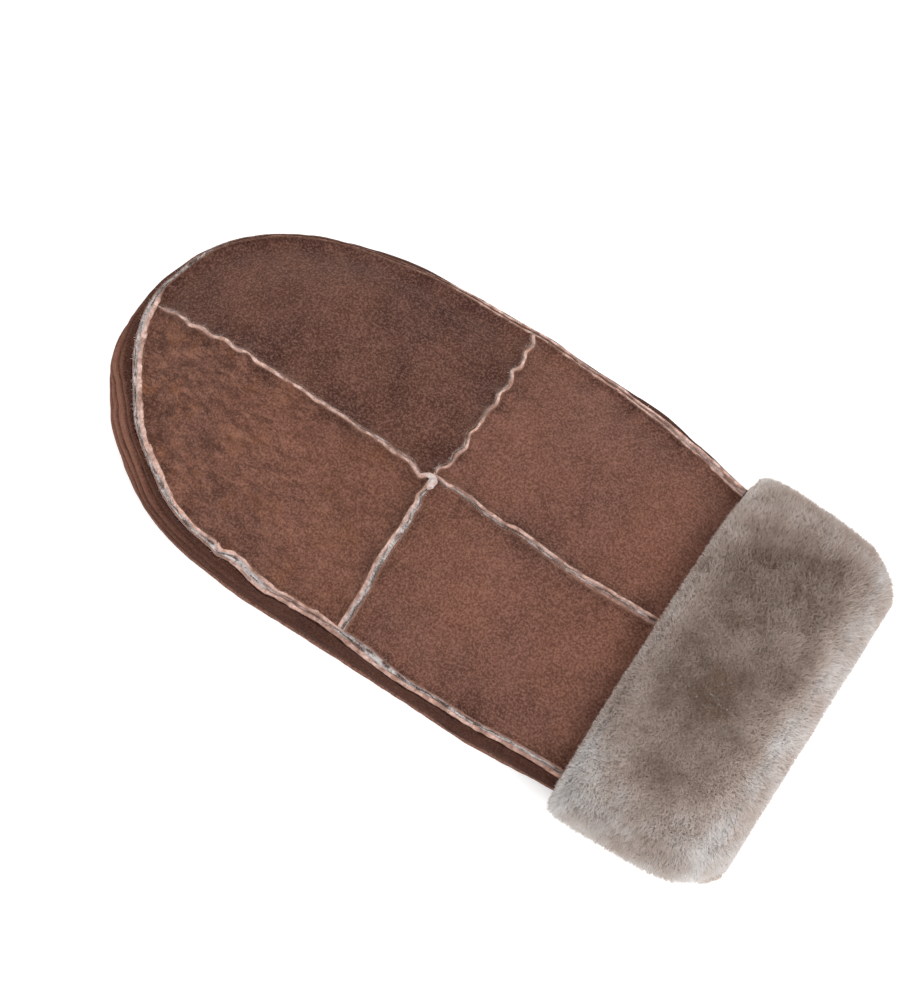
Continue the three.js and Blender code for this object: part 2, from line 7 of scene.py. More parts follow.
import bpy
import numpy as np
from mathutils import Matrix, Vector

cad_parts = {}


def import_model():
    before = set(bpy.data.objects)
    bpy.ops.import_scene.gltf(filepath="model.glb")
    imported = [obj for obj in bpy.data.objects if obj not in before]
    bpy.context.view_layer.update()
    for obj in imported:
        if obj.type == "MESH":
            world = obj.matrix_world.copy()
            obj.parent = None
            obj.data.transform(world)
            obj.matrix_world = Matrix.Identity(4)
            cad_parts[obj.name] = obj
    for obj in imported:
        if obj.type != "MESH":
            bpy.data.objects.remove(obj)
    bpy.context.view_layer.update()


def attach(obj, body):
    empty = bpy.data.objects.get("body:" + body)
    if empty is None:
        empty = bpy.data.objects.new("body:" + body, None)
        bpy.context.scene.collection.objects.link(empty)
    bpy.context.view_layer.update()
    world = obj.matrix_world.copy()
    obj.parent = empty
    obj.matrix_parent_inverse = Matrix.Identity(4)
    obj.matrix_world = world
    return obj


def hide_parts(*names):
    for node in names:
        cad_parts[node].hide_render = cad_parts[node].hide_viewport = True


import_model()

# ------------------------------------------------------------------ sizes
MID_S, MID_Y = 132.6, -4.0
ARC_S, TIP_LEN, TIP_HALF, CROWN_POWER = 90.0, 83.5, 59.4, 2.4
SKIN, WOOL, GAP = 1.8, 5.2, 0.3
CUFF_S, BODY_END, RIM_S = 207.4, 260.0, 266.7

SPINE = [(-14, 3.9), (6, 3.9), (30, 2.3), (60, 0.1), (90, -0.3), (130, -0.3), (150, -0.8), (165, -1.4),
         (185, -2.8), (207, -4.2), (275, -5.0)]                                  # s, y
BACK = [(90, 59.4, 43.0), (120, 59.5, 44.4), (150, 60.0, 44.6), (168, 60.2, 44.4), (185, 58.5, 44.0),
        (207, 55.8, 43.2), (275, 55.0, 42.6)]                                    # s, half width, crown
EDGE = [                                                                        # place, flare, bulge, top, palm
    (-275, 0.8, 0.8, 29.0, 13.5), (-225, 0.8, 0.9, 29.3, 12.6), (-207, 1.0, 2.0, 29.5, 12.0),
    (-183, 1.0, 1.4, 30.0, 9.8), (-160, 1.2, 1.6, 30.0, 7.5), (-130, 2.2, 1.6, 30.0, 6.2),
    (-100, 2.4, 1.5, 29.8, 5.7), (-80, 3.0, 1.4, 29.0, 5.5), (-66, 5.8, 1.2, 27.6, 5.3),
    (-55, 8.0, 1.2, 26.6, 5.2), (-35, 9.2, 1.2, 24.6, 4.9), (-18, 8.0, 1.2, 23.2, 4.8),
    (0, 5.9, 1.4, 22.5, 4.8), (35, 3.4, 1.3, 24.0, 5.0), (90, 2.0, 1.2, 29.5, 5.6),
    (160, 1.6, 1.3, 30.0, 7.5), (207, 1.2, 1.6, 29.5, 12.0), (225, 0.8, 0.9, 29.3, 12.6),
    (275, 0.8, 0.8, 29.0, 13.5)]
PALM = [(90, 7.6), (150, 9.0), (190, 12.4), (207, 13.2), (275, 13.6)]            # s, z
THUMB = dict(s0=180.0, y0=22.0, s1=126.0, y1=2.0, half0=19.0, half1=17.0, top=14.8, skin=2.2)
THUMB_HOLE = dict(s=172.0, y=19.2, long=21.0, wide=11.5)
CUFF = [                                                                        # s, over, side
    (207.4, 8.0, 5.4), (208.6, 10.2, 7.2), (213, 11.9, 8.6), (222, 12.6, 9.3), (240, 12.6, 8.7),
    (252, 11.6, 7.2), (258.6, 9.2, 4.0), (263, 6.0, 0.0), (265.5, 2.4, -3.6), (266.7, -1.2, -7.0)]

# The seams' cut edges. LENGTH: the pink edge of the lengthwise seam, the width of that edge, the
# wool beside it and the second edge beyond the wool; side +1 has the wool on the far side.
LENGTH = [                                                                      # s, y, pink, wool, second, side
    (8.0, 1.0, 0.7, 0.5, 0.2, 1), (12.9, 0.7, 0.9, 0.6, 0.2, 1), (16.3, 0.9, 0.9, 0.5, 0.2, 1),
    (20.0, 0.6, 1.1, 0.4, 0.2, 1), (22.8, -0.6, 1.3, 0.3, 0.2, 1), (27.5, 0.3, 1.2, 0.3, 0.2, 1),
    (32.3, -0.5, 1.1, 0.3, 0.2, 1), (37.6, 0.2, 1.1, 0.4, 0.2, 1), (42.3, -0.6, 1.0, 0.3, 0.2, 1),
    (46.8, -0.1, 1.0, 0.4, 0.2, 1), (51.3, -0.9, 1.0, 0.4, 0.2, 1), (56.4, -0.7, 1.0, 0.3, 0.2, 1),
    (62.0, -1.1, 1.0, 0.3, 0.2, 1), (68.1, -1.0, 1.0, 0.3, 0.2, 1), (76.0, -1.7, 1.0, 0.4, 0.2, 1),
    (84.3, -1.7, 1.0, 0.4, 0.2, 1), (92.0, -2.4, 1.0, 0.5, 0.2, 1), (100.2, -2.3, 1.0, 0.7, 0.2, 1),
    (105.9, -3.1, 1.0, 0.8, 0.2, 1), (111.6, -3.0, 1.0, 0.8, 0.2, 1), (115.0, -4.3, 1.1, 0.6, 0.2, 1),
    (117.6, -5.1, 1.2, 0.4, 0.2, 1), (119.4, -3.7, 1.2, 0.3, 0.2, 1), (121.5, -2.7, 1.1, 0.3, 0.2, -1),
    (123.6, -2.4, 1.1, 0.5, 0.2, -1), (126.7, -2.9, 1.1, 0.7, 0.2, -1), (129.2, -2.0, 1.1, 0.8, 0.3, -1),
    (134.6, -2.4, 1.0, 0.9, 0.3, -1), (142.0, -3.3, 1.0, 0.9, 0.3, -1), (149.0, -3.7, 1.0, 1.0, 0.3, -1),
    (154.3, -3.0, 1.0, 1.0, 0.4, -1), (165.1, -3.9, 0.9, 1.1, 0.5, -1), (175.7, -4.4, 0.9, 1.1, 0.7, -1),
    (190.9, -4.1, 0.9, 1.1, 0.9, -1), (206.0, -3.5, 0.9, 1.0, 0.9, -1), (262.0, -3.2, 0.9, 0.9, 0.9, -1)]
# CROSS: the seam across the back, in the same way; side +1 has the wool on the wrist side.
CROSS = [                                                                       # y, s, pink, wool, second, side
    (-66, 121.1, 1.0, 1.6, 0.5, 1), (-58.1, 121.1, 1.1, 1.6, 0.5, 1), (-52.2, 121.2, 1.1, 1.6, 0.5, 1),
    (-45.7, 121.5, 1.2, 1.5, 0.4, 1), (-36.6, 120.8, 1.2, 1.6, 0.4, 1), (-31.0, 120.9, 1.1, 1.6, 0.4, 1),
    (-26.4, 121.1, 1.1, 1.6, 0.4, 1), (-22.8, 121.4, 1.1, 1.5, 0.4, 1), (-19.9, 121.3, 1.1, 1.5, 0.4, 1),
    (-16.7, 120.9, 1.1, 1.4, 0.4, 1), (-13.8, 121.1, 1.1, 1.3, 0.4, 1), (-10.9, 120.3, 1.1, 1.1, 0.3, 1),
    (-7.8, 120.7, 1.0, 0.8, 0.3, 1), (-3.0, 120.9, 1.0, 0.4, 0.2, 1), (0.0, 121.2, 0.9, 0.4, 0.2, -1),
    (2.7, 123.4, 0.9, 0.5, 0.2, -1), (5.2, 123.8, 0.9, 0.7, 0.2, -1), (6.8, 123.5, 1.0, 0.8, 0.2, -1),
    (10.6, 124.8, 1.0, 0.8, 0.2, -1), (13.1, 124.2, 1.0, 0.6, 0.2, -1), (15.5, 123.4, 1.1, 0.4, 0.2, -1),
    (18.3, 124.3, 1.1, 0.3, 0.2, -1), (21.7, 124.2, 1.2, 0.3, 0.2, -1), (25.7, 124.0, 1.1, 0.4, 0.2, -1),
    (29.0, 124.8, 1.1, 0.5, 0.2, -1), (33.0, 123.8, 1.1, 0.5, 0.2, -1), (36.8, 124.7, 1.1, 0.4, 0.2, -1),
    (40.4, 123.8, 1.1, 0.3, 0.2, -1), (42.6, 122.5, 1.1, 0.3, 0.2, -1), (45.5, 123.8, 1.1, 0.3, 0.2, -1),
    (49.1, 123.1, 1.1, 0.4, 0.2, -1), (51.5, 122.2, 1.1, 0.4, 0.2, -1), (54.7, 122.7, 1.1, 0.4, 0.2, -1),
    (58.8, 120.6, 1.0, 0.4, 0.2, -1), (66, 120.4, 1.0, 0.4, 0.2, -1)]
# ROUND: the seam round the back: places and widths of the inner and the outer cut edge, measured
# outwards from the back's outline, how pink they are and how much wool stands between them.
ROUND = [                                                                       # place, inner, w, outer, w, pink, wool
    (-207, -1.3, 0.5, 0.65, 1.1, 1.0, 1.0), (-186, -1.6, 0.5, 0.1, 1.1, 1.0, 1.0), (-175, -1.3, 0.5, 0.5, 1.0, 1.0, 1.0),
    (-165, -1.1, 0.5, 0.75, 1.1, 1.0, 1.0), (-156, -0.4, 0.5, 1.4, 1.0, 1.0, 1.0), (-147, 0.1, 0.4, 2.1, 1.1, 1.0, 1.0),
    (-140, -0.4, 0.4, 2.3, 1.1, 1.0, 1.0), (-133, -1.1, 0.4, 2.0, 1.1, 1.0, 1.0), (-127, -1.2, 0.5, 1.6, 1.1, 1.0, 1.0),
    (-122, -0.9, 0.7, 1.1, 1.2, 1.0, 0.8), (-118.6, -0.8, 1.0, 0.9, 1.2, 1.0, 0.4), (-112.3, -1.3, 1.0, 0.6, 1.1, 1.0, 0.3),
    (-108.4, -0.95, 1.0, 1.0, 1.1, 1.0, 0.2), (-103, -0.95, 1.0, 1.2, 1.1, 1.0, 0.3), (-98, -0.4, 1.1, 1.4, 1.0, 1.0, 0.3),
    (-93, -0.8, 1.1, 2.1, 1.0, 1.0, 0.6), (-88.5, -1.5, 1.1, 1.4, 0.9, 1.0, 0.9), (-85, -2.4, 1.1, 0.4, 0.7, 1.0, 1.0),
    (-82.2, -2.4, 1.1, 0.3, 0.6, 1.0, 1.0), (-80.3, -1.4, 1.2, 0.9, 0.5, 1.0, 0.9), (-79, -0.5, 1.2, 1.5, 0.5, 1.0, 0.7),
    (-77, -1.5, 1.2, 1.1, 0.5, 1.0, 0.9), (-75, -0.9, 1.3, 1.2, 0.5, 1.0, 1.0), (-70, -0.1, 1.3, 1.9, 0.5, 1.0, 1.0),
    (-64, 0.15, 1.4, 2.2, 0.5, 1.0, 1.0), (-60, -0.4, 1.4, 2.3, 0.5, 1.0, 1.0), (-57, -0.8, 1.5, 1.9, 0.5, 1.0, 1.0),
    (-52, -0.7, 1.8, 1.6, 0.4, 1.0, 1.0), (-48, -0.4, 2.0, 1.7, 0.4, 1.0, 0.7), (-44, -0.6, 2.1, 1.8, 0.4, 1.0, 1.0),
    (-40, -0.9, 2.0, 1.6, 0.4, 1.0, 1.0), (-35, -1.5, 2.2, 1.0, 0.4, 1.0, 1.2), (-28, -2.1, 2.1, 0.6, 0.4, 1.0, 0.8),
    (-21, -2.0, 2.3, 1.0, 0.4, 1.0, 1.0), (-12, -1.3, 2.0, 1.6, 0.4, 1.0, 1.2), (-5, -0.9, 1.9, 2.0, 0.4, 1.0, 1.2),
    (-1.5, -0.6, 1.9, 2.0, 0.4, 1.0, 1.2), (0.6, -0.1, 0.8, 2.0, 0.4, 0.4, 1.2), (5, 0.2, 0.5, 1.8, 0.4, 0.25, 1.2),
    (10, -0.2, 0.4, 1.3, 0.4, 0.25, 1.2), (19, 0.2, 0.4, 1.7, 0.4, 0.3, 1.1), (25, 0.7, 0.4, 1.7, 0.4, 0.35, 0.6),
    (31, 0.9, 0.4, 1.7, 0.4, 0.3, 0.3),
    (42, 0.7, 0.5, 1.5, 0.4, 0.25, 0.1), (55, 0.1, 0.5, 0.9, 0.4, 0.22, 0.0), (62, -0.4, 0.5, 0.4, 0.4, 0.22, 0.0),
    (75, -1.5, 0.5, -0.7, 0.5, 0.32, 0.0), (88, -0.8, 0.6, 0.1, 0.6, 0.55, 0.0), (98, -0.4, 0.9, 0.8, 0.8, 1.0, 0.0),
    (112, -0.4, 0.9, 0.9, 0.9, 1.0, 0.1), (124, 0.2, 0.8, 1.5, 0.8, 1.0, 0.1), (134, -0.7, 0.9, 0.8, 0.9, 1.0, 0.1),
    (143, -1.3, 0.9, 0.2, 0.9, 1.0, 0.1), (154, -1.4, 0.9, 0.1, 0.9, 1.0, 0.1), (162, -2.2, 0.9, -0.7, 1.0, 1.0, 0.2),
    (169, -2.5, 0.8, -0.8, 1.0, 1.0, 0.2), (176, -2.3, 0.8, -0.6, 1.0, 1.0, 0.2), (185, -2.3, 0.8, 0.1, 1.0, 1.0, 0.3),
    (192, -1.9, 0.8, 0.5, 1.0, 1.0, 0.3), (199, -1.9, 0.8, 0.7, 1.0, 1.0, 0.3), (207, -2.4, 0.8, 0.4, 1.0, 1.0, 0.3)]
# KNOT: the short bent end of wool where the seams cross.
KNOT = [(117.2, -5.0, 0.5), (118.6, -3.9, 0.8), (120.4, -3.2, 1.1), (121.8, -3.9, 1.45), (122.2, -5.3, 1.5),
        (121.9, -6.8, 1.0), (121.6, -7.6, 0.5)]                                                     # s, y, radius


# ------------------------------------------------------------------ small functions
def curve(rows, x=0, y=1):
    """Monotone cubic through two columns of a table."""
    xs = np.array([r[x] for r in rows], float)
    ys = np.array([r[y] for r in rows], float)
    d = np.diff(ys) / np.diff(xs)
    m = np.zeros(len(xs))
    m[0], m[-1] = d[0], d[-1]
    for i in range(1, len(xs) - 1):
        m[i] = 0 if d[i - 1] * d[i] <= 0 else 2 * d[i - 1] * d[i] / (d[i - 1] + d[i])

    def f(t):
        t = np.clip(np.asarray(t, float), xs[0], xs[-1])
        i = np.clip(np.searchsorted(xs, t, "right") - 1, 0, len(xs) - 2)
        h = xs[i + 1] - xs[i]
        u = (t - xs[i]) / h
        u2, u3 = u * u, u * u * u
        return ((2 * u3 - 3 * u2 + 1) * ys[i] + (u3 - 2 * u2 + u) * h * m[i]
                + (3 * u2 - 2 * u3) * ys[i + 1] + (u3 - u2) * h * m[i + 1])
    return f


def smooth(u):
    t = np.clip(u, 0, 1)
    return t * t * (3 - 2 * t)


def lerp(p, q, u):
    return p + (q - p) * u


def unit(v):
    return v / np.maximum(1e-9, np.linalg.norm(v, axis=-1, keepdims=True))


_lattice = {}


def noise(p, size, seed=0, octaves=1):
    """Smooth noise from -1 to 1 at points p, with lumps about size across."""
    p = np.atleast_2d(np.asarray(p, float))
    if p.shape[1] == 2:
        p = np.column_stack([p, np.zeros(len(p))])
    if seed not in _lattice:
        _lattice[seed] = np.random.default_rng(1000 + seed).uniform(-1, 1, (32, 32, 32))
    g = _lattice[seed]
    out, amp, total = np.zeros(len(p)), 1.0, 0.0
    for k in range(octaves):
        q = p / size * 2 ** k + 7.3 * k + 100.0
        i = np.floor(q).astype(int)
        f = q - i
        f = f * f * f * (f * (6 * f - 15) + 10)
        v = 0
        for dx in (0, 1):
            for dy in (0, 1):
                for dz in (0, 1):
                    w = (np.where(dx, f[:, 0], 1 - f[:, 0]) * np.where(dy, f[:, 1], 1 - f[:, 1])
                         * np.where(dz, f[:, 2], 1 - f[:, 2]))
                    v = v + w * g[(i[:, 0] + dx) % 32, (i[:, 1] + dy) % 32, (i[:, 2] + dz) % 32]
        out += amp * v * 1.5
        total += amp
        amp *= 0.5
    return np.clip(out / total, -1, 1)


spine, back_half, crown, palm_mid = curve(SPINE), curve(BACK), curve(BACK, 0, 2), curve(PALM)
flare, bulge, edge_top, edge_palm = curve(EDGE, 0, 1), curve(EDGE, 0, 2), curve(EDGE, 0, 3), curve(EDGE, 0, 4)
cuff_over, cuff_side = curve(CUFF, 0, 1), curve(CUFF, 0, 2)
len_y, len_p, len_w, len_q, len_side = (curve(LENGTH, 0, k) for k in range(1, 6))
cro_s, cro_p, cro_w, cro_q, cro_side = (curve(CROSS, 0, k) for k in range(1, 6))
rin, rin_w, rout, rout_w, rpink, rwool = (curve(ROUND, 0, k) for k in range(1, 7))


def radius(a):
    p = np.radians(np.clip(a, -90, 90))
    tip = np.hypot(TIP_LEN * np.cos(p), TIP_HALF * np.sin(p))
    return np.where(np.abs(a) <= 90, tip, back_half(np.abs(a)))


def plan(a, r):
    a, r = np.broadcast_arrays(np.asarray(a, float), np.asarray(r, float))
    p = np.radians(np.clip(a, -90, 90))
    tip = np.abs(a) <= 90
    s = np.where(tip, ARC_S - r * TIP_LEN * np.cos(p), np.abs(a))
    y = spine(s) + np.where(tip, r * TIP_HALF * np.sin(p), np.sign(a) * r * back_half(np.abs(a)))
    return s, y


def place(s, y):
    v = y - spine(s)
    p, q = (ARC_S - s) / TIP_LEN, v / TIP_HALF
    far = np.asarray(s) >= ARC_S
    a = np.where(far, np.where(v < 0, -1, 1) * s, np.degrees(np.arctan2(q, p)))
    r = np.where(far, np.abs(v) / back_half(s), np.hypot(p, q))
    return a, r


def back_z(a, r):
    top = crown(np.maximum(ARC_S, np.abs(a)))
    return top + (edge_top(a) - top) * np.power(np.maximum(r, 0), CROWN_POWER)


def thumb_lift(s, y):
    ds, dy = THUMB["s1"] - THUMB["s0"], THUMB["y1"] - THUMB["y0"]
    u = np.clip(((s - THUMB["s0"]) * ds + (y - THUMB["y0"]) * dy) / (ds * ds + dy * dy), 0, 1)
    d = np.hypot(s - THUMB["s0"] - u * ds, y - THUMB["y0"] - u * dy)
    return smooth((44 - d) / 26) * smooth((207 - s) / 14)


def palm_z(a, q):
    s, y = plan(a, q * (1 + flare(a) / radius(a)))
    mid = palm_mid(np.maximum(ARC_S, np.abs(a)))
    flat = mid + (edge_palm(a) - mid) * q * q
    return lerp(flat, np.maximum(flat, THUMB["top"] + 0.8), thumb_lift(s, y) * (1 - smooth((q - 0.7) / 0.28)))


def outward(a, n, z):
    s, y = plan(a, 1 + n / radius(a))
    return np.stack(np.broadcast_arrays(s, y, z), -1)


def band_n(a, t):
    return 1.0 + (flare(a) - 0.9) * t + bulge(a) * np.sin(np.pi * t)


def band_z(a, t):
    return lerp(edge_top(a) - 1.6, edge_palm(a) + SKIN + GAP + 0.4, t)


def broad(s, y):
    """The back's slow dents and swells."""
    p = np.column_stack([np.ravel(s), np.ravel(y)])
    v = 0.55 * noise(p, 34, 1) + 0.32 * noise(p, 15, 2) + 0.12 * noise(p, 7, 3)
    return v.reshape(np.shape(s)) * (1 - 0.8 * smooth((np.asarray(s) - 196) / 11))


def back_surface(s, y):
    a, r = place(s, y)
    return back_z(a, r) + broad(s, y) * smooth((1.06 - r) / 0.12)


# ------------------------------------------------------------------ meshes
def world(points):
    return (np.asarray(points, float) - np.array([MID_S, MID_Y, 0.0])) * 0.001


def mesh_of(name, points, faces, materials, colours=None, sharp=40, slots=None, uv=None, normals=None):
    """Object from plan points and a list of face arrays, each (n, 3) or (n, 4)."""
    co = world(points)
    faces = [np.asarray(f, np.int64) for f in faces if len(f)]
    tris = np.concatenate([f[:, [0, k, k + 1]] for f in faces for k in range(1, f.shape[1] - 1)])
    a, b, c = co[tris[:, 0]], co[tris[:, 1]], co[tris[:, 2]]
    if normals is None and (a * np.cross(b, c)).sum() < 0:
        faces = [f[:, ::-1] for f in faces]
    loops = np.concatenate([f.ravel() for f in faces])
    sizes = np.concatenate([np.full(len(f), f.shape[1]) for f in faces])
    me = bpy.data.meshes.new(name)
    me.vertices.add(len(co))
    me.vertices.foreach_set("co", co.astype(np.float32).ravel())
    me.loops.add(len(loops))
    me.loops.foreach_set("vertex_index", loops.astype(np.int32))
    me.polygons.add(len(sizes))
    me.polygons.foreach_set("loop_start", np.concatenate([[0], np.cumsum(sizes)[:-1]]).astype(np.int32))
    me.polygons.foreach_set("use_smooth", np.ones(len(sizes), bool))
    if slots is not None:
        me.polygons.foreach_set("material_index", np.asarray(slots, np.int32))
    me.update(calc_edges=True)
    for m in materials:
        me.materials.append(m)
    for key, value in (colours or {}).items():
        at = me.attributes.new(key, "FLOAT_COLOR", "POINT")
        rgba = np.ones((len(co), 4), np.float32)
        rgba[:, :3] = value
        at.data.foreach_set("color", rgba.ravel())
    if uv is not None:
        layer = me.uv_layers.new(name="OFBake")
        layer.data.foreach_set("uv", uv[loops].astype(np.float32).ravel())
    if normals is not None:
        me.normals_split_custom_set_from_vertices(normals.astype(np.float32))
    elif sharp:
        me.set_sharp_from_angle(angle=math.radians(sharp))
    me.validate(clean_customdata=False)
    ob = bpy.data.objects.new(name, me)
    bpy.context.scene.collection.objects.link(ob)
    return ob


def grid_faces(n, m, at=0, ring=False):
    """Quads of a grid of n rows and m columns; ring joins the last column to the first."""
    i, j = np.meshgrid(np.arange(n - 1), np.arange(m if ring else m - 1), indexing="ij")
    k = (j + 1) % m
    return (at + np.stack([i * m + j, (i + 1) * m + j, (i + 1) * m + k, i * m + k], -1)).reshape(-1, 4)


def shell(outer, inner):
    """Points and faces of a sheet from its outer and inner grids, closed round its border."""
    n, m = outer.shape[:2]
    pts = np.concatenate([outer.reshape(-1, 3), inner.reshape(-1, 3)])
    top, low = grid_faces(n, m), grid_faces(n, m, n * m)[:, ::-1]
    o = n * m
    ring = np.concatenate([np.arange(m), np.arange(1, n) * m + m - 1, (n - 1) * m + np.arange(m - 2, -1, -1),
                           np.arange(n - 2, 0, -1) * m])
    nxt = np.roll(ring, -1)
    side = np.stack([ring, nxt, nxt + o, ring + o], -1)
    return pts, [top, low, side]


def loft(rows, cap=True, ring=False):
    """Points and faces of closed sections, with flat caps or joined end to end."""
    n, m = rows.shape[:2]
    pts, faces = rows.reshape(-1, 3), [grid_faces(n, m, ring=True)]
    if ring:
        j = np.arange(m)
        k = (j + 1) % m
        faces.append(np.stack([(n - 1) * m + j, j, k, (n - 1) * m + k], -1))
    elif cap:
        j = np.arange(m)
        k = (j + 1) % m
        pts = np.concatenate([pts, rows[:1].mean(1), rows[-1:].mean(1)])
        faces.append(np.stack([np.full(m, n * m), j, k], -1))
        faces.append(np.stack([np.full(m, n * m + 1), (n - 1) * m + k, (n - 1) * m + j], -1))
    return pts, faces


def cut(ob, tool):
    """Takes tool away from ob, and removes tool."""
    mod = ob.modifiers.new("cut", "BOOLEAN")
    mod.operation, mod.solver, mod.object = "DIFFERENCE", "EXACT", tool
    dg = bpy.context.evaluated_depsgraph_get()
    me = bpy.data.meshes.new_from_object(ob.evaluated_get(dg), depsgraph=dg, preserve_all_data_layers=True)
    ob.modifiers.clear()
    old, ob.data = ob.data, me
    bpy.data.meshes.remove(old)
    me.name = ob.name
    bpy.data.objects.remove(tool)
    return ob


# ------------------------------------------------------------------ materials
def srgb(r, g, b):
    c = np.array([r, g, b]) / 255.0
    return np.where(c <= 0.04045, c / 12.92, ((c + 0.055) / 1.055) ** 2.4)


class Nodes:
    """A short way to write a material's nodes."""

    def __init__(self, name):
        self.mat = bpy.data.materials.new(name)
        self.mat.use_nodes = True
        self.nt = self.mat.node_tree
        self.bsdf = self.nt.nodes["Principled BSDF"]
        self.out = self.nt.nodes["Material Output"]
        self.co = self.nt.nodes.new("ShaderNodeTexCoord").outputs["Object"]

    def link(self, a, b):
        self.nt.links.new(a, b)

    def noise(self, mm, detail=2.0, rough=0.5, stretch=None, distortion=0.0, seed=0.0, turn=0.0):
        n = self.nt.nodes.new("ShaderNodeTexNoise")
        n.inputs["Scale"].default_value = 1000.0 / mm
        n.inputs["Detail"].default_value = detail
        n.inputs["Roughness"].default_value = rough
        n.inputs["Distortion"].default_value = distortion
        m = self.nt.nodes.new("ShaderNodeMapping")
        m.inputs["Scale"].default_value = stretch or (1, 1, 1)
        m.inputs["Rotation"].default_value = (0.0, 0.0, math.radians(turn))
        m.inputs["Location"].default_value = (seed * 0.37, seed * 0.61, seed * 0.23)
        self.link(self.co, m.inputs["Vector"])
        self.link(m.outputs["Vector"], n.inputs["Vector"])
        return n.outputs["Fac"]

    def voronoi(self, mm, feature="F1"):
        n = self.nt.nodes.new("ShaderNodeTexVoronoi")
        n.feature = feature
        n.inputs["Scale"].default_value = 1000.0 / mm
        self.link(self.co, n.inputs["Vector"])
        return n.outputs["Distance"]

    def math(self, op, a, b=None, c=None, clamp=False):
        n = self.nt.nodes.new("ShaderNodeMath")
        n.operation, n.use_clamp = op, clamp
        for i, v in enumerate((a, b, c)):
            if v is None:
                continue
            if isinstance(v, (int, float)):
                n.inputs[i].default_value = v
            else:
                self.link(v, n.inputs[i])
        return n.outputs[0]

    def span(self, v, lo, hi, a=0.0, b=1.0):
        n = self.nt.nodes.new("ShaderNodeMapRange")
        n.interpolation_type = "SMOOTHSTEP"
        for key, x in (("From Min", lo), ("From Max", hi), ("To Min", a), ("To Max", b)):
            n.inputs[key].default_value = x
        self.link(v, n.inputs["Value"])
        return n.outputs["Result"]

    def mix(self, fac, a, b, kind="MIX"):
        n = self.nt.nodes.new("ShaderNodeMix")
        n.data_type, n.blend_type = "RGBA", kind
        if isinstance(fac, (int, float)):
            n.inputs[0].default_value = fac
        else:
            self.link(fac, n.inputs[0])
        for sock, v in ((n.inputs[6], a), (n.inputs[7], b)):
            if isinstance(v, (tuple, list, np.ndarray)):
                sock.default_value = (*[float(x) for x in v], 1.0)
            else:
                self.link(v, sock)
        return n.outputs[2]

    def attribute(self, name):
        n = self.nt.nodes.new("ShaderNodeAttribute")
        n.attribute_name = name
        return n

    def parts(self, colour):
        n = self.nt.nodes.new("ShaderNodeSeparateColor")
        self.link(colour, n.inputs[0])
        return n.outputs[0], n.outputs[1], n.outputs[2]

    def bump(self, height, mm, strength=1.0, after=None):
        n = self.nt.nodes.new("ShaderNodeBump")
        n.inputs["Strength"].default_value = strength
        n.inputs["Distance"].default_value = mm / 1000.0
        self.link(height, n.inputs["Height"])
        if after is not None:
            self.link(after, n.inputs["Normal"])
        return n.outputs["Normal"]

    def finish(self, colour, rough=0.9, normal=None, specular=0.2, sheen=0.0, sheen_rough=0.5, sheen_tint=(1, 1, 1)):
        b = self.bsdf.inputs
        self.link(colour, b["Base Color"])
        b["Roughness"].default_value = rough
        b["Specular IOR Level"].default_value = specular
        b["Sheen Weight"].default_value = sheen
        b["Sheen Roughness"].default_value = sheen_rough
        b["Sheen Tint"].default_value = (*sheen_tint, 1.0)
        if normal is not None:
            self.link(normal, b["Normal"])
        return self.mat


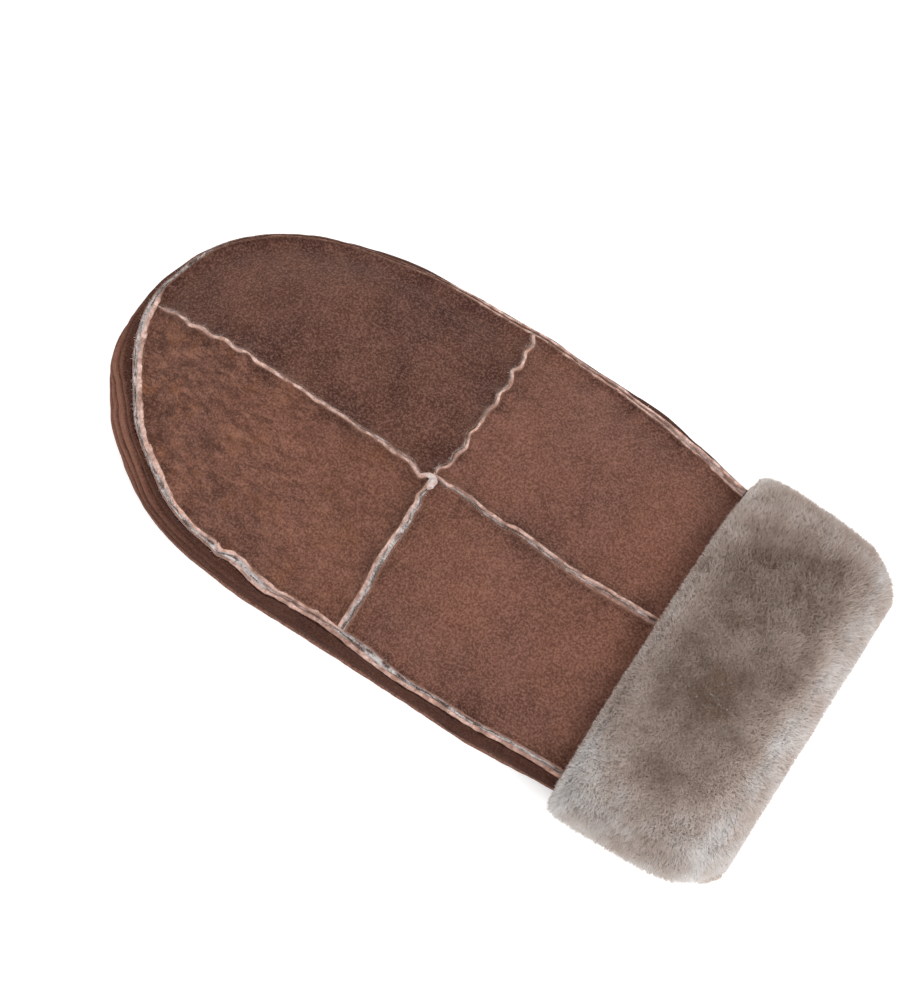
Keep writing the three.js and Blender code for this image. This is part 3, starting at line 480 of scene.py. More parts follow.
def suede_material(name="suede", crease=0.0, deep=0.0):
    """Suede: the vertex colour 'look' holds shade, warmth and a third channel: worn rims with a painted highlight on
    the back, painted light on the band; the nap's grain comes from noise.
    """
    n = Nodes(name)
    shade, warm, wear_and_highlight = n.parts(n.attribute("look").outputs["Color"])
    base = n.mix(shade, srgb(56, 33, 28), srgb(118, 79, 67))
    base = n.mix(n.math("MULTIPLY", warm, 0.5), base, srgb(118, 76, 55))
    cloud = n.span(n.noise(11.0, 3.0, 0.6), 0.35, 0.68)
    base = n.mix(n.math("MULTIPLY", cloud, 0.20), base, srgb(118, 79, 67))
    dim = n.span(n.noise(7.0, 3.0, 0.62, seed=4), 0.46, 0.72)
    base = n.mix(n.math("MULTIPLY", dim, 0.20), base, srgb(58, 36, 31))
    grain = n.noise(0.74, 3.0, 0.72, seed=2)
    light, dark = (0.26, 0.32) if deep else (0.37, 0.44)
    base = n.mix(n.math("MULTIPLY", n.span(grain, 0.44, 0.66), light), base, srgb(146, 108, 94))
    base = n.mix(n.math("MULTIPLY", n.span(grain, 0.56, 0.34), dark), base, srgb(46, 26, 21))
    speck = n.span(n.noise(0.42, 2.0, 0.6, seed=7), 0.64, 0.78)
    base = n.mix(n.math("MULTIPLY", speck, 0.16), base, srgb(156, 118, 100))
    if deep:                                  # the band: darkened, but less where the third channel paints light on it near the fingertips, with painted highlights on its fold ridges there
        base = n.mix(n.math("MULTIPLY", n.math("SUBTRACT", 1.0, wear_and_highlight), deep), base, srgb(44, 22, 14))
        base = n.mix(n.math("MULTIPLY", n.math("MULTIPLY", wear_and_highlight, shade), 0.30), base, srgb(158, 114, 94))
    else:
        base = n.mix(n.math("MULTIPLY", wear_and_highlight, 0.8), base, srgb(160, 122, 104))
    creases = n.noise(3.4, 4.0, 0.62, distortion=0.4, seed=3)
    fine = n.noise(0.6, 3.0, 0.7, seed=9)
    normal = n.bump(creases, 0.55, 0.45)
    if crease:
        # soft wandering folds, strongest towards the fingertips, painted darker in their hollows as shade and lighter
        # on their crests as highlight; thin crease lines are painted dark as shade in them
        x = n.nt.nodes.new("ShaderNodeSeparateXYZ")
        n.link(n.co, x.inputs[0])
        fade = n.span(x.outputs[0], -0.115, -0.02, crease, 0.35 * crease)
        fold = n.noise(2.7, 3.0, 0.58, stretch=(0.42, 1.0, 1.0), distortion=0.5, seed=12, turn=-27)
        base = n.mix(n.math("MULTIPLY", n.math("MULTIPLY", n.span(fold, 0.50, 0.34), 0.60), fade), base, srgb(62, 36, 28))
        base = n.mix(n.math("MULTIPLY", n.math("MULTIPLY", n.span(fold, 0.52, 0.70), 0.42), fade), base, srgb(150, 106, 88))
        rust = n.span(n.noise(9.0, 3.0, 0.6, seed=15), 0.50, 0.72)
        base = n.mix(n.math("MULTIPLY", n.math("MULTIPLY", rust, 0.28), fade), base, srgb(134, 84, 50))
        line = n.math("ABSOLUTE", n.math("SUBTRACT", n.noise(5.0, 2.0, 0.5, stretch=(0.5, 1.0, 1.0), distortion=0.9, seed=21, turn=-14), 0.5))
        crease_shade = n.span(line, 0.035, 0.0)
        patchy = n.span(n.noise(7.0, 1.0, 0.5, seed=24), 0.42, 0.60)
        crease_shade = n.math("MULTIPLY", n.math("MULTIPLY", crease_shade, patchy), fade)
        base = n.mix(n.math("MULTIPLY", crease_shade, 0.58), base, srgb(52, 28, 22))
        normal = n.bump(n.math("MULTIPLY", fold, fade), 1.1, 0.8, normal)
        normal = n.bump(n.math("SUBTRACT", 1.0, crease_shade), 0.5, 0.6, normal)
    normal = n.bump(fine, 0.22, 0.55, normal)
    return n.finish(base, 0.95, normal, specular=0.04 if deep else 0.10, sheen=0.0 if deep else 0.26, sheen_rough=0.45,
                    sheen_tint=(0.86, 0.66, 0.57))


def edge_material():
    """Cut edges: 'look' holds how much is pink cut hide, how much is wool, and the wool's lightness."""
    n = Nodes("raw_edge")
    pink, wool, pale = n.parts(n.attribute("look").outputs["Color"])
    tone = n.noise(1.6, 3.0, 0.6)
    cut_col = n.mix(n.span(tone, 0.35, 0.65), srgb(180, 143, 130), srgb(214, 182, 170))
    cut_col = n.mix(n.math("MULTIPLY", n.span(n.noise(4.5, 2.0, 0.5, seed=5), 0.55, 0.75), 0.5), cut_col, srgb(208, 150, 118))
    cut_col = n.mix(n.math("MULTIPLY", n.span(n.noise(1.1, 3.0, 0.7, seed=6), 0.50, 0.66), 0.62), cut_col, srgb(132, 96, 82))
    cut_col = n.mix(n.math("MULTIPLY", n.span(n.noise(0.6, 2.0, 0.6, seed=16), 0.60, 0.74), 0.6), cut_col, srgb(232, 214, 206))
    mixed = n.math("ADD", n.math("MULTIPLY", pale, 0.55), n.math("MULTIPLY", n.noise(0.6, 3.0, 0.7, seed=8), 0.9))
    wool_col = n.mix(n.span(mixed, 0.42, 0.98), srgb(80, 60, 53), srgb(200, 193, 192))
    hide_col = n.mix(n.span(n.noise(0.9, 3.0, 0.7, seed=1), 0.35, 0.65), srgb(78, 48, 38), srgb(132, 90, 72))
    base = n.mix(n.math("MINIMUM", pink, 1.0), hide_col, cut_col)
    base = n.mix(n.math("MINIMUM", wool, 1.0), base, wool_col)
    normal = n.bump(n.noise(0.8, 3.0, 0.6, seed=4), 0.25, 0.7)
    return n.finish(base, 0.85, normal, specular=0.25, sheen=0.1, sheen_rough=0.5, sheen_tint=(1.0, 0.9, 0.85))


def wool_body_material():
    """The wool's dense depth under its strands."""
    n = Nodes("wool_body")
    look = n.attribute("look").outputs["Color"]
    grain = n.noise(0.8, 3.0, 0.7, stretch=(1, 1, 1), seed=3)
    base = n.mix(n.math("MULTIPLY", n.span(grain, 0.55, 0.35), 0.55), look, srgb(150, 130, 116))
    base = n.mix(n.math("MULTIPLY", n.span(grain, 0.55, 0.72), 0.35), base, srgb(232, 220, 212))
    normal = n.bump(n.noise(1.0, 4.0, 0.7, seed=5), 0.9, 0.8)
    return n.finish(base, 0.95, normal, specular=0.08, sheen=0.3, sheen_rough=0.5, sheen_tint=(0.95, 0.92, 0.88))


def strand_material(name="wool_strands"):
    """Single wool strands: their colour from root to tip is 'look'; light also passes through them."""
    n = Nodes(name)
    look = n.attribute("look").outputs["Color"]
    fine = n.noise(0.55, 2.0, 0.6, seed=2)
    base = n.mix(n.math("MULTIPLY", n.span(fine, 0.6, 0.38), 0.06), look, srgb(110, 94, 82))
    n.finish(base, 0.85, None, specular=0.18, sheen=0.25, sheen_rough=0.4, sheen_tint=(1.0, 0.97, 0.94))
    thin = n.nt.nodes.new("ShaderNodeBsdfTranslucent")
    n.link(base, thin.inputs["Color"])
    both = n.nt.nodes.new("ShaderNodeMixShader")
    both.inputs[0].default_value = 0.46
    n.link(n.bsdf.outputs[0], both.inputs[1])
    n.link(thin.outputs[0], both.inputs[2])
    n.link(both.outputs[0], n.out.inputs["Surface"])
    return n.mat


SUEDE, CREASED, DEEP = suede_material(), suede_material("suede_creased", 1.0), suede_material("suede_deep", 0.0, 0.42)
EDGES, WOOL_BODY, STRANDS = edge_material(), wool_body_material(), strand_material()


def settle(ob, slot, *nodes):
    """Puts a piece on the body, in place of its CAD nodes; the slot it is given is not used."""
    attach(ob, "root")
    if nodes:
        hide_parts(*nodes)
    return ob


# ------------------------------------------------------------------ where the seams run
def seam_borders(p, w, q, side):
    """Lower and upper border of a seam round its pink edge: side +1 has its wool above the edge."""
    lo = -p / 2 - np.where(side < 0, w + q, 0.0) * np.clip(-side, 0, 1)
    hi = p / 2 + np.where(side > 0, w + q, 0.0) * np.clip(side, 0, 1)
    return lo, hi


def length_borders(s):
    lo, hi = seam_borders(len_p(s), len_w(s), len_q(s), len_side(s))
    return len_y(s) + lo - 0.06, len_y(s) + hi + 0.06


def cross_borders(y):
    lo, hi = seam_borders(cro_p(y), cro_w(y), cro_q(y), cro_side(y))
    return cro_s(y) + lo - 0.06, cro_s(y) + hi + 0.06


def cosine(n, both=True):
    u = np.arange(n + 1) / n
    return 0.5 - 0.5 * np.cos(np.pi * u) if both else np.sin(0.5 * np.pi * u)


def near_line(p, line):
    """Distance of plan points p (n, 2) to a polyline given as dense points."""
    out = np.empty(len(p))
    for i in range(0, len(p), 4000):
        d = p[i:i + 4000, None, :] - line[None, :, :]
        out[i:i + 4000] = np.sqrt((d * d).sum(-1).min(1))
    return out


# ------------------------------------------------------------------ the back's patches
TONE = {"back_tip_far": (0.16, 0.18), "back_tip_near": (0.50, 0.40), "back_wrist_far": (0.56, 0.28),
        "back_wrist_near": (0.58, 0.30)}                                        # shade, warmth


def patch(name, side, end):
    m = 74
    col = cosine(m)
    if end == "tip":
        n = 104
        u = cosine(n)
        start = 6.85
        row_s = lerp(start, 122.0, u)
    else:
        row_s = np.concatenate([lerp(122.0, 206.6, cosine(84)), [207.4, 209.5, 214, 222, 232, 246, BODY_END]])
    S = np.repeat(row_s[:, None], m + 1, 1)
    B = np.repeat(np.power(col, 0.94)[None, :], len(row_s), 0)

    def across(s):
        lo, hi = length_borders(s)
        inner = hi - 0.26 if side > 0 else lo + 0.26
        p = np.clip((ARC_S - s) / TIP_LEN, 0, 0.99995)
        a = np.where(s >= ARC_S, side * s, side * np.degrees(np.arccos(p)))
        for _ in range(8):
            r = 1 + (rin(a) - rin_w(a) / 2 + 0.45) / radius(a)
            a = np.where(s >= ARC_S, a, 0.5 * a + 0.5 * side * np.degrees(np.arccos(np.clip(p / r, 0, 1))))
        q = np.where(s >= ARC_S, r * back_half(s), TIP_HALF * np.sqrt(np.maximum(1e-4, r * r - p ** 2)))
        return inner, spine(s) + side * q

    yi, yo = across(np.full_like(S, 122.0))
    yc = lerp(yi, yo, B)
    tip_side, wrist_side = cross_borders(yc)
    shift = (tip_side + 0.26 if end == "tip" else wrist_side - 0.26) - 122.0
    S = S + shift * np.exp(-np.abs(S - 122.0) / 7.0)
    yi, yo = across(S)
    Y = lerp(yi, yo, B)
    a, r = place(S, Y)
    P = np.column_stack([S.ravel(), Y.ravel()])
    ss = np.linspace(8, 262, 900)
    lo, hi = length_borders(ss)
    d_len = near_line(P, np.column_stack([ss, hi - 0.26 if side > 0 else lo + 0.26])).reshape(S.shape)
    yy = np.linspace(-64, 64, 520)
    ct, cw = cross_borders(yy)
    d_cross = near_line(P, np.column_stack([ct + 0.26 if end == "tip" else cw - 0.26, yy])).reshape(S.shape)
    aa = np.concatenate([np.linspace(-262, -90, 620), np.linspace(-90, 90, 900), np.linspace(90, 262, 620)])
    es, ey = plan(aa, 1 + (rin(aa) - rin_w(aa) / 2 + 0.45) / radius(aa))
    d_edge = near_line(P, np.column_stack([es, ey])).reshape(S.shape)

    def rise(d, high, wide=1.7):
        return high * np.exp(-np.power(d / wide, 1.15)) - 0.42 * np.exp(-((d - 5.6) / 2.6) ** 2)
    z = back_surface(S, Y)
    up = np.maximum(np.maximum(rise(d_len, 1.85), rise(d_cross, 1.85)), rise(d_edge, 2.0, 1.9))
    low = np.minimum(np.minimum(rise(d_len, 1.85), rise(d_cross, 1.85)), rise(d_edge, 2.0, 1.9))
    z = z + np.where(up > 0.05, up, low)
    # gathers: short dents at right angles to each seam
    gather = (np.exp(-d_len / 6.5) * noise(np.column_stack([S.ravel() / 4.6, d_len.ravel() / 15]), 1, 11).reshape(S.shape)
              + np.exp(-d_cross / 6.5) * noise(np.column_stack([Y.ravel() / 4.2, d_cross.ravel() / 15 + 9]), 1, 12).reshape(S.shape)
              + np.exp(-d_edge / 7.5) * noise(np.column_stack([np.where(S > ARC_S, S, a * 1.2).ravel() / 5.0, d_edge.ravel() / 15 + 20]), 1, 13).reshape(S.shape))
    tight = lambda d, u, k: np.exp(-d / 3.2) * noise(np.column_stack([u.ravel() / 1.9, d.ravel() / 7 + 5 * k]), 1, 15 + k).reshape(S.shape)
    pucker = tight(d_len, S, 0) + tight(d_cross, Y, 1) + tight(d_edge, np.where(S > ARC_S, S, a * 1.2), 2)
    z = z + 0.50 * gather + 0.26 * pucker
    z = z - 0.3 * np.exp(-np.abs(S - CUFF_S) / 3.0) * smooth((S - 190) / 17)      # pressed down where the cuff starts
    nz = np.column_stack([P, np.zeros(len(P))])
    z = z + 0.07 * noise(nz, 2.1, 14, 2).reshape(S.shape)
    outer = np.stack([S, Y, z], -1)
    inner = outer.copy()
    inner[..., 2] -= SKIN
    pts, faces = shell(outer, inner)
    # the look: a painted shadow in a narrow band beside each seam, darker further out towards the seams and the edge,
    # painted light and shade on the gathers and puckers, and worn and lighter where the hide turns up, with a painted
    # highlight on that rim
    shade0, warm0 = TONE[name]
    nearest = np.minimum(np.minimum(d_len, d_cross), d_edge)
    even = 0.45 if name == "back_tip_far" else 0.8
    # the last term is a painted shadow in a narrow band beside each seam
    shade = (shade0 + even * (0.18 * noise(P, 22, 21, 2).reshape(S.shape) + 0.13 * noise(P, 6, 22, 2).reshape(S.shape))
             - 0.28 * np.exp(-nearest / 4.5) - (0.08 if name == "back_tip_far" else 0.20) * np.exp(-d_edge / 9.0) - 0.30 * np.exp(-np.power(np.maximum(nearest - 0.4, 0) / 1.3, 2)))
    # painted light on the raised gathers and puckers, painted shade in their dents
    shade = shade + 0.26 * gather + 0.24 * pucker
    if name == "back_tip_far":
        shade = shade - 0.03 - 0.10 * np.exp(-d_len / 8)
    warm = warm0 + 0.28 * noise(P, 17, 23, 2).reshape(S.shape)
    # worn and lighter where the hide turns up at the seams, with a painted highlight on that rim
    wear_and_highlight = 0.40 * np.exp(-np.power(nearest / 0.45, 2)) + 0.05 * smooth(noise(P, 3.0, 24, 2).reshape(S.shape))
    look = np.clip(np.stack([shade, warm, wear_and_highlight], -1), 0, 1).reshape(-1, 3)
    ob = mesh_of(name + "_suede", pts, faces, [CREASED if name == "back_tip_near" else SUEDE], {"look": np.concatenate([look, look])})
    return settle(ob, "suede", name)


patch("back_tip_far", 1, "tip")
patch("back_tip_near", -1, "tip")
patch("back_wrist_far", 1, "wrist")
patch("back_wrist_near", -1, "wrist")


# ------------------------------------------------------------------ seams
fuzz = {"root": [], "dir": [], "normal": [], "length": [], "tone": []}


def ridge(w, h, tones, put, t, seed, rough=1.0, pale=0.0):
    """Points, faces and look of a seam. w holds four borders (edge, wool, edge) and h three heights,
    each along the seam; put(k, w, h) gives the plan points at station k."""
    w0, w1, w2, w3 = w
    h1, hw, h2 = h
    pink1, pink2, wool = tones
    n = len(t)
    one = np.ones(n)
    jig = lambda k, size, amp: amp * rough * noise(np.column_stack([t, one * k * 3.7]), size, seed)
    c1, c2 = (w0 + w1) / 2, (w2 + w3) / 2
    f1 = 1 + 0.20 * rough * noise(np.column_stack([t, one * 51.0]), 2.4, seed) + 0.10 * noise(np.column_stack([t, one * 53.0]), 1.0, seed)
    f2 = 1 + 0.20 * rough * noise(np.column_stack([t, one * 57.0]), 2.4, seed) + 0.10 * noise(np.column_stack([t, one * 59.0]), 1.0, seed)
    w0, w1, w2, w3 = c1 - (c1 - w0) * f1, c1 + (w1 - c1) * f1, c2 - (c2 - w2) * f2, c2 + (w3 - c2) * f2
    g = np.maximum(0.02, w2 - w1)
    h1 = h1 * (1 + jig(1, 3.4, 0.12)) + jig(2, 1.2, 0.08)
    h2 = h2 * (1 + jig(3, 3.4, 0.12)) + jig(4, 1.2, 0.08)
    hw = hw + jig(5, 1.6, 0.22)
    wane = lambda k: np.clip(0.80 + 0.44 * noise(np.column_stack([t, one * k]), 2.4, seed), 0.3, 1.0)
    streak = lambda k: np.clip(0.45 + pale + 0.75 * noise(np.column_stack([t, one * k * 9.1]), 3.2, seed)
                               + 0.30 * noise(np.column_stack([t, one * k * 5.3]), 1.1, seed + 1), 0.0, 1.0)
    pink1, pink2 = pink1 * wane(61.0), pink2 * wane(67.0)
    p1, p2 = w1 - w0, w3 - w2
    sec = [(w0 + 0.02, 0.25 * one), (w0 + 0.02 + jig(6, 1.3, 0.05), h1 - 0.55), (w0 + 0.16 * p1, h1 - 0.12 + jig(7, 0.8, 0.05)),
           (w0 + 0.5 * p1, h1 + 0.08 + jig(8, 0.9, 0.06)), (w0 + 0.84 * p1, h1 - 0.10), (w1 + 0.10 * g, lerp(hw, h1, 0.45)),
           (w1 + 0.38 * g, hw + jig(9, 0.7, 0.16)), (w1 + 0.66 * g, hw + jig(10, 0.7, 0.16)), (w2 - 0.08 * g, lerp(hw, h2, 0.4)),
           (w2 + 0.18 * p2, h2 - 0.10), (w2 + 0.5 * p2, h2 + 0.06 + jig(11, 0.9, 0.05)), (w2 + 0.86 * p2, h2 - 0.14),
           (w3 - 0.02 + jig(12, 1.3, 0.05), h2 - 0.55), (w3 - 0.02, 0.25 * one), ((w0 + w3) / 2, 0.2 * one)]
    rows = np.stack([put(sw, sh) for sw, sh in sec], 1)
    zero = np.zeros(n)
    look = []
    for k in range(len(sec)):
        if k in (2, 3, 4):
            look.append((pink1, zero, one))
        elif k in (9, 10, 11):
            look.append((pink2, zero, one))
        elif k in (5, 6, 7, 8):
            look.append((pink1 * 0.5, wool * (0.6 if k in (5, 8) else 1.0), streak(k)))
        elif k in (1, 12):
            look.append(((pink1 if k == 1 else pink2) * 0.55, zero, one))
        else:
            look.append((zero, zero, one))
    look = np.stack([np.stack(np.broadcast_arrays(*c), -1) for c in look], 1)
    pts, faces = loft(rows)
    look = np.concatenate([look.reshape(-1, 3), look[:1].mean(1), look[-1:].mean(1)])
    return pts, faces, look


def seam_fuzz(put, w1, w2, hw, amount, t, per_mm, seed, up, length=(0.9, 1.9)):
    """Short wool standing out of a seam's groove: put(w, h, k) gives plan points at stations k."""
    rng = np.random.default_rng(seed)
    step = np.gradient(t)
    count = rng.poisson(np.maximum(0, amount) * per_mm * np.abs(step))
    k = np.repeat(np.arange(len(t)), count)
    if not len(k):
        return
    u = rng.random(len(k))
    w = lerp(w1[k] - 0.15, w2[k] + 0.15, u)
    root = put(w, hw[k] - 0.5, k)
    tip = put(w + rng.normal(0, 0.55, len(k)), hw[k] + 1.0, k)
    along = rng.normal(0, 0.45, (len(k), 1)) * unit(put(w, hw[k], np.minimum(k + 1, len(t) - 1)) - put(w, hw[k], np.maximum(k - 1, 0)))
    d = unit(unit(tip - root) + along)
    fuzz["root"].append(root)
    fuzz["dir"].append(d)
    fuzz["normal"].append(unit(lerp(up[k], d, 0.3)))
    fuzz["length"].append(rng.uniform(*length, len(k)))
    fuzz["tone"].append(np.clip(rng.normal(0.62, 0.3, len(k)), 0.0, 1))


def on_back(path_s, path_y):
    """put() for a seam that runs over the back along plan points."""
    ts, ty = np.gradient(path_s), np.gradient(path_y)
    l = np.hypot(ts, ty)
    ts, ty = ts / l, ty / l

    def put(w, h, k=slice(None)):
        s, y = path_s[k] - ty[k] * w, path_y[k] + ts[k] * w
        return np.stack([s, y, back_surface(s, y) + h], -1)
    return put


UP = np.array([0.0, 0.0, 1.0])


def length_seam():
    s = np.append(np.arange(6.9, 207.1, 0.55), 207.38)
    # a little sideways play on top of the measured line
    y = len_y(s) + 0.12 * noise(np.column_stack([s, s * 0]), 3.1, 31)
    lo, hi = length_borders(s)
    side = np.clip(len_side(s) * 3, -1, 1)
    p, w, q = len_p(s), len_w(s), len_q(s)
    put = on_back(s, y)
    # the borders run from the near side to the far side
    a0 = lo + 0.06 - len_y(s)
    a3 = hi - 0.06 - len_y(s)
    far_wool = side > 0
    w1 = np.where(far_wool, p / 2, a0 + q)
    w2 = np.where(far_wool, a3 - q, -p / 2)
    w1, w2 = np.minimum(w1, w2), np.maximum(w1, w2)
    n = len(s)
    h1 = np.where(far_wool, 2.55, 2.15) * np.ones(n)
    h2 = np.where(far_wool, 2.0, 2.6) * np.ones(n)
    hw = np.full(n, 1.75)
    pk1 = np.where(far_wool, 1.0, smooth((s - 150) / 40) * 0.9)
    pk2 = np.where(far_wool, 0.15, 1.0)
    start = smooth((s - 9) / 9)
    pk1 = pk1 * np.where(far_wool, lerp(1.0, 0.85, smooth((s - 55) / 15)), 0.35)
    pk2 = pk2 * np.where(far_wool, 1.0, 0.80)
    pts, faces, look = ridge((a0, w1, w2, a3), (h1, hw, h2), (pk1 * lerp(0.5, 1, start), pk2, np.full(n, 0.55)), put, s, 32)
    fuzz_amount = np.where(far_wool, 0.7 + 0.5 * smooth((s - 92) / 12), 0.0)
    seam_fuzz(put, w1, w2, hw, fuzz_amount, s, 9, 33, np.repeat(UP[None], n, 0), (0.6, 1.1))
    seam_fuzz(put, w1, w2, hw, np.where(far_wool, 0.0, 1.0), s, 9, 34, np.repeat(UP[None], n, 0), (0.7, 1.5))
    ob = mesh_of("seam_length_edges", pts, faces, [EDGES], {"look": look})
    return settle(ob, "raw_edge", "seam_length")


def cross_seam(name, y0, y1, seed):
    y = np.linspace(y0, y1, int(abs(y1 - y0) / 0.5) + 1)
    s = cro_s(y) + 0.10 * noise(np.column_stack([y, y * 0]), 2.7, seed)
    lo, hi = cross_borders(y)
    side = cro_side(y)
    p, w, q = cro_p(y), cro_w(y), cro_q(y)
    base = on_back(s, y)

    def put(ww, h, k=slice(None)):          # here w is counted towards the wrist
        return base(-ww if y1 > y0 else ww, h, k)
    a0, a3 = lo + 0.06 - cro_s(y), hi - 0.06 - cro_s(y)
    wrist_wool = side > 0
    w1 = np.where(wrist_wool, p / 2, a0 + q)
    w2 = np.where(wrist_wool, a3 - q, -p / 2)
    w1, w2 = np.minimum(w1, w2), np.maximum(w1, w2)
    n = len(y)
    h1 = np.where(wrist_wool, 2.55, 1.95) * np.ones(n)
    h2 = np.where(wrist_wool, 2.05, 2.55) * np.ones(n)
    hw = np.full(n, 1.8)
    pk1 = np.where(wrist_wool, 0.88, 0.15)
    pk2 = np.where(wrist_wool, 0.35, 0.92)
    pts, faces, look = ridge((a0, w1, w2, a3), (h1, hw, h2), (pk1, pk2 * np.where(wrist_wool, 0.4, 1.0), np.where(wrist_wool, 0.9, 0.6)), put, y, seed,
                             1.0, np.where(wrist_wool, 0.02, -0.1))
    amount = np.where(wrist_wool, 1.5, 0.35 + 0.6 * smooth((16 - y) / 10))
    seam_fuzz(put, w1, w2, hw, amount, y, 10, seed + 1, np.repeat(UP[None], n, 0))
    ob = mesh_of(name + "_edges", pts, faces, [EDGES], {"look": look})
    return settle(ob, "raw_edge", name)


def edge_places(step_mm, end=207.38):
    """Places round the edge about step_mm apart."""
    straight = np.append(np.arange(ARC_S, end - 0.3, step_mm), end)
    a = np.linspace(-90, 90, int(250 / step_mm))
    return np.concatenate([-straight[::-1][:-1] if straight[0] == ARC_S else -straight[::-1], a, straight[1:]])


def edge_put(a, lean=0.02):
    R, tops = radius(a), edge_top(a)

    def put(n, h, k=slice(None)):
        nn = n + lean * h
        s, y = plan(a[k], 1 + nn / R[k])
        bs, by = plan(a[k], np.minimum(1.0, 1 + n / R[k]))
        base = back_z(a[k], np.minimum(1.0, 1 + n / R[k])) + 0.0 * tops[k]
        return np.stack([s, y, base - 0.35 * np.maximum(n, 0) + h], -1)
    return put


def round_seam():
    a = edge_places(0.6)
    t = np.concatenate([[0], np.cumsum(np.linalg.norm(np.diff(outward(a, 0, 0.0), axis=0), axis=1))])
    wig = 0.10 * noise(np.column_stack([t, t * 0]), 2.9, 41)
    i0, i1 = rin(a) - rin_w(a) / 2, rin(a) + rin_w(a) / 2 + wig
    o0, o1 = rout(a) - rout_w(a) / 2 + wig, rout(a) + rout_w(a) / 2
    i1 = np.minimum(i1, o0 - 0.05)
    n = len(a)
    wide = smooth((rin_w(a) - 1.2) / 0.8)
    h1 = 2.35 + 0.35 * wide
    h2 = 2.25 - 0.5 * wide
    hw = 1.05 + 0.5 * smooth(rwool(a) / 0.6)
    put = edge_put(a)
    pink = rpink(a)
    second = np.where(rout_w(a) > 0.6, 1.0, 0.25) * pink
    first = np.where(rin_w(a) < 0.65, 0.3, 1.0) * pink
    second = second * np.interp(a, [-207, -125, -118, -90, -80], [0.82, 0.82, 0.88, 0.88, 1.0])
    first = first * np.interp(a, [-207, -125, -118, -90, -78, -20, 0, 90, 100, 207], [0.8, 0.8, 0.85, 0.85, 1.2, 1.15, 1.0, 1.0, 0.7, 0.8])
    pale = np.interp(a, [-207, -130, -110, -92, -84, -62, -50, -30, -12, 24, 40, 90, 207], [0.0, 0.05, -0.1, 0.0, 0.3, 0.3, 0.05, 0.15, 0.3, 0.35, 0.0, -0.1, -0.05])
    pts, faces, look = ridge((i0, i1, o0, o1), (h1, hw, h2), (first, second, np.clip(rwool(a) + 0.12, 0, 1)), put, t, 42, 1.15, pale)
    seam_fuzz(put, i1, o0, hw, rwool(a), t, 12, 43, unit(put(o1, np.full(n, 2.0)) - put(i0, np.zeros(n))), (0.9, 2.1))
    ob = mesh_of("seam_edge_back_edges", pts, faces, [EDGES], {"look": look})
    return settle(ob, "raw_edge", "seam_edge_back")


def palm_seam():
    a = edge_places(0.8)
    t = np.concatenate([[0], np.cumsum(np.linalg.norm(np.diff(outward(a, 0, 0.0), axis=0), axis=1))])
    n = len(a)
    R, f, ep = radius(a), flare(a), edge_palm(a)

    def put(w, h, k=slice(None)):           # w upwards, h outwards
        s, y = plan(a[k], 1 + (f[k] + h) / R[k])
        return np.stack([s, y, ep[k] + w], -1)
    one = np.ones(n)
    wig = 0.12 * noise(np.column_stack([t, t * 0]), 3.2, 51)
    w = (-0.85 + wig, 0.25 + wig, 0.75 + wig, 1.75 + wig)
    pts, faces, look = ridge(w, (1.75 * one, 1.25 * one, 1.6 * one), (0.07 * one, 0.05 * one, 0.0 * one), put, t, 52, 0.35)
    ob = mesh_of("seam_edge_palm_edges", pts, faces, [EDGES], {"look": look})
    return settle(ob, "raw_edge", "seam_edge_palm")


length_seam()
cross_seam("seam_cross_far", -2.3, float(spine(122) + back_half(122) - 0.3), 35)
cross_seam("seam_cross_near", -3.1, float(spine(122) - back_half(122) + 1.0), 37)
round_seam()
palm_seam()


def knot():
    rows = np.array(KNOT)
    t = np.linspace(0, len(rows) - 1, 26)
    path = np.stack([np.interp(t, np.arange(len(rows)), rows[:, k]) for k in range(3)], -1)
    for _ in range(3):
        path[1:-1, :2] = 0.25 * path[:-2, :2] + 0.5 * path[1:-1, :2] + 0.25 * path[2:, :2]
    rad = path[:, 2] * (1 + 0.12 * noise(np.column_stack([t * 1.7, t * 0]), 1, 61))
    tan = unit(np.gradient(path[:, :2], axis=0))
    q = np.arange(12) / 12 * 2 * np.pi
    z = back_surface(path[:, 0], path[:, 1]) + 2.35
    sec = np.stack([path[:, 0][:, None] - tan[:, 1][:, None] * np.cos(q) * rad[:, None],
                    path[:, 1][:, None] + tan[:, 0][:, None] * np.cos(q) * rad[:, None],
                    z[:, None] + np.sin(q) * rad[:, None] * 0.85], -1)
    pts, faces = loft(sec)
    look = np.column_stack([np.full(len(pts), 0.75), np.clip(0.45 + 0.5 * noise(pts, 1.6, 62), 0, 0.8), np.clip(0.85 + 0.3 * noise(pts, 1.2, 63), 0, 1)])
    return settle(mesh_of("seam_knot", pts, faces, [EDGES], {"look": look}), "raw_edge")


knot()


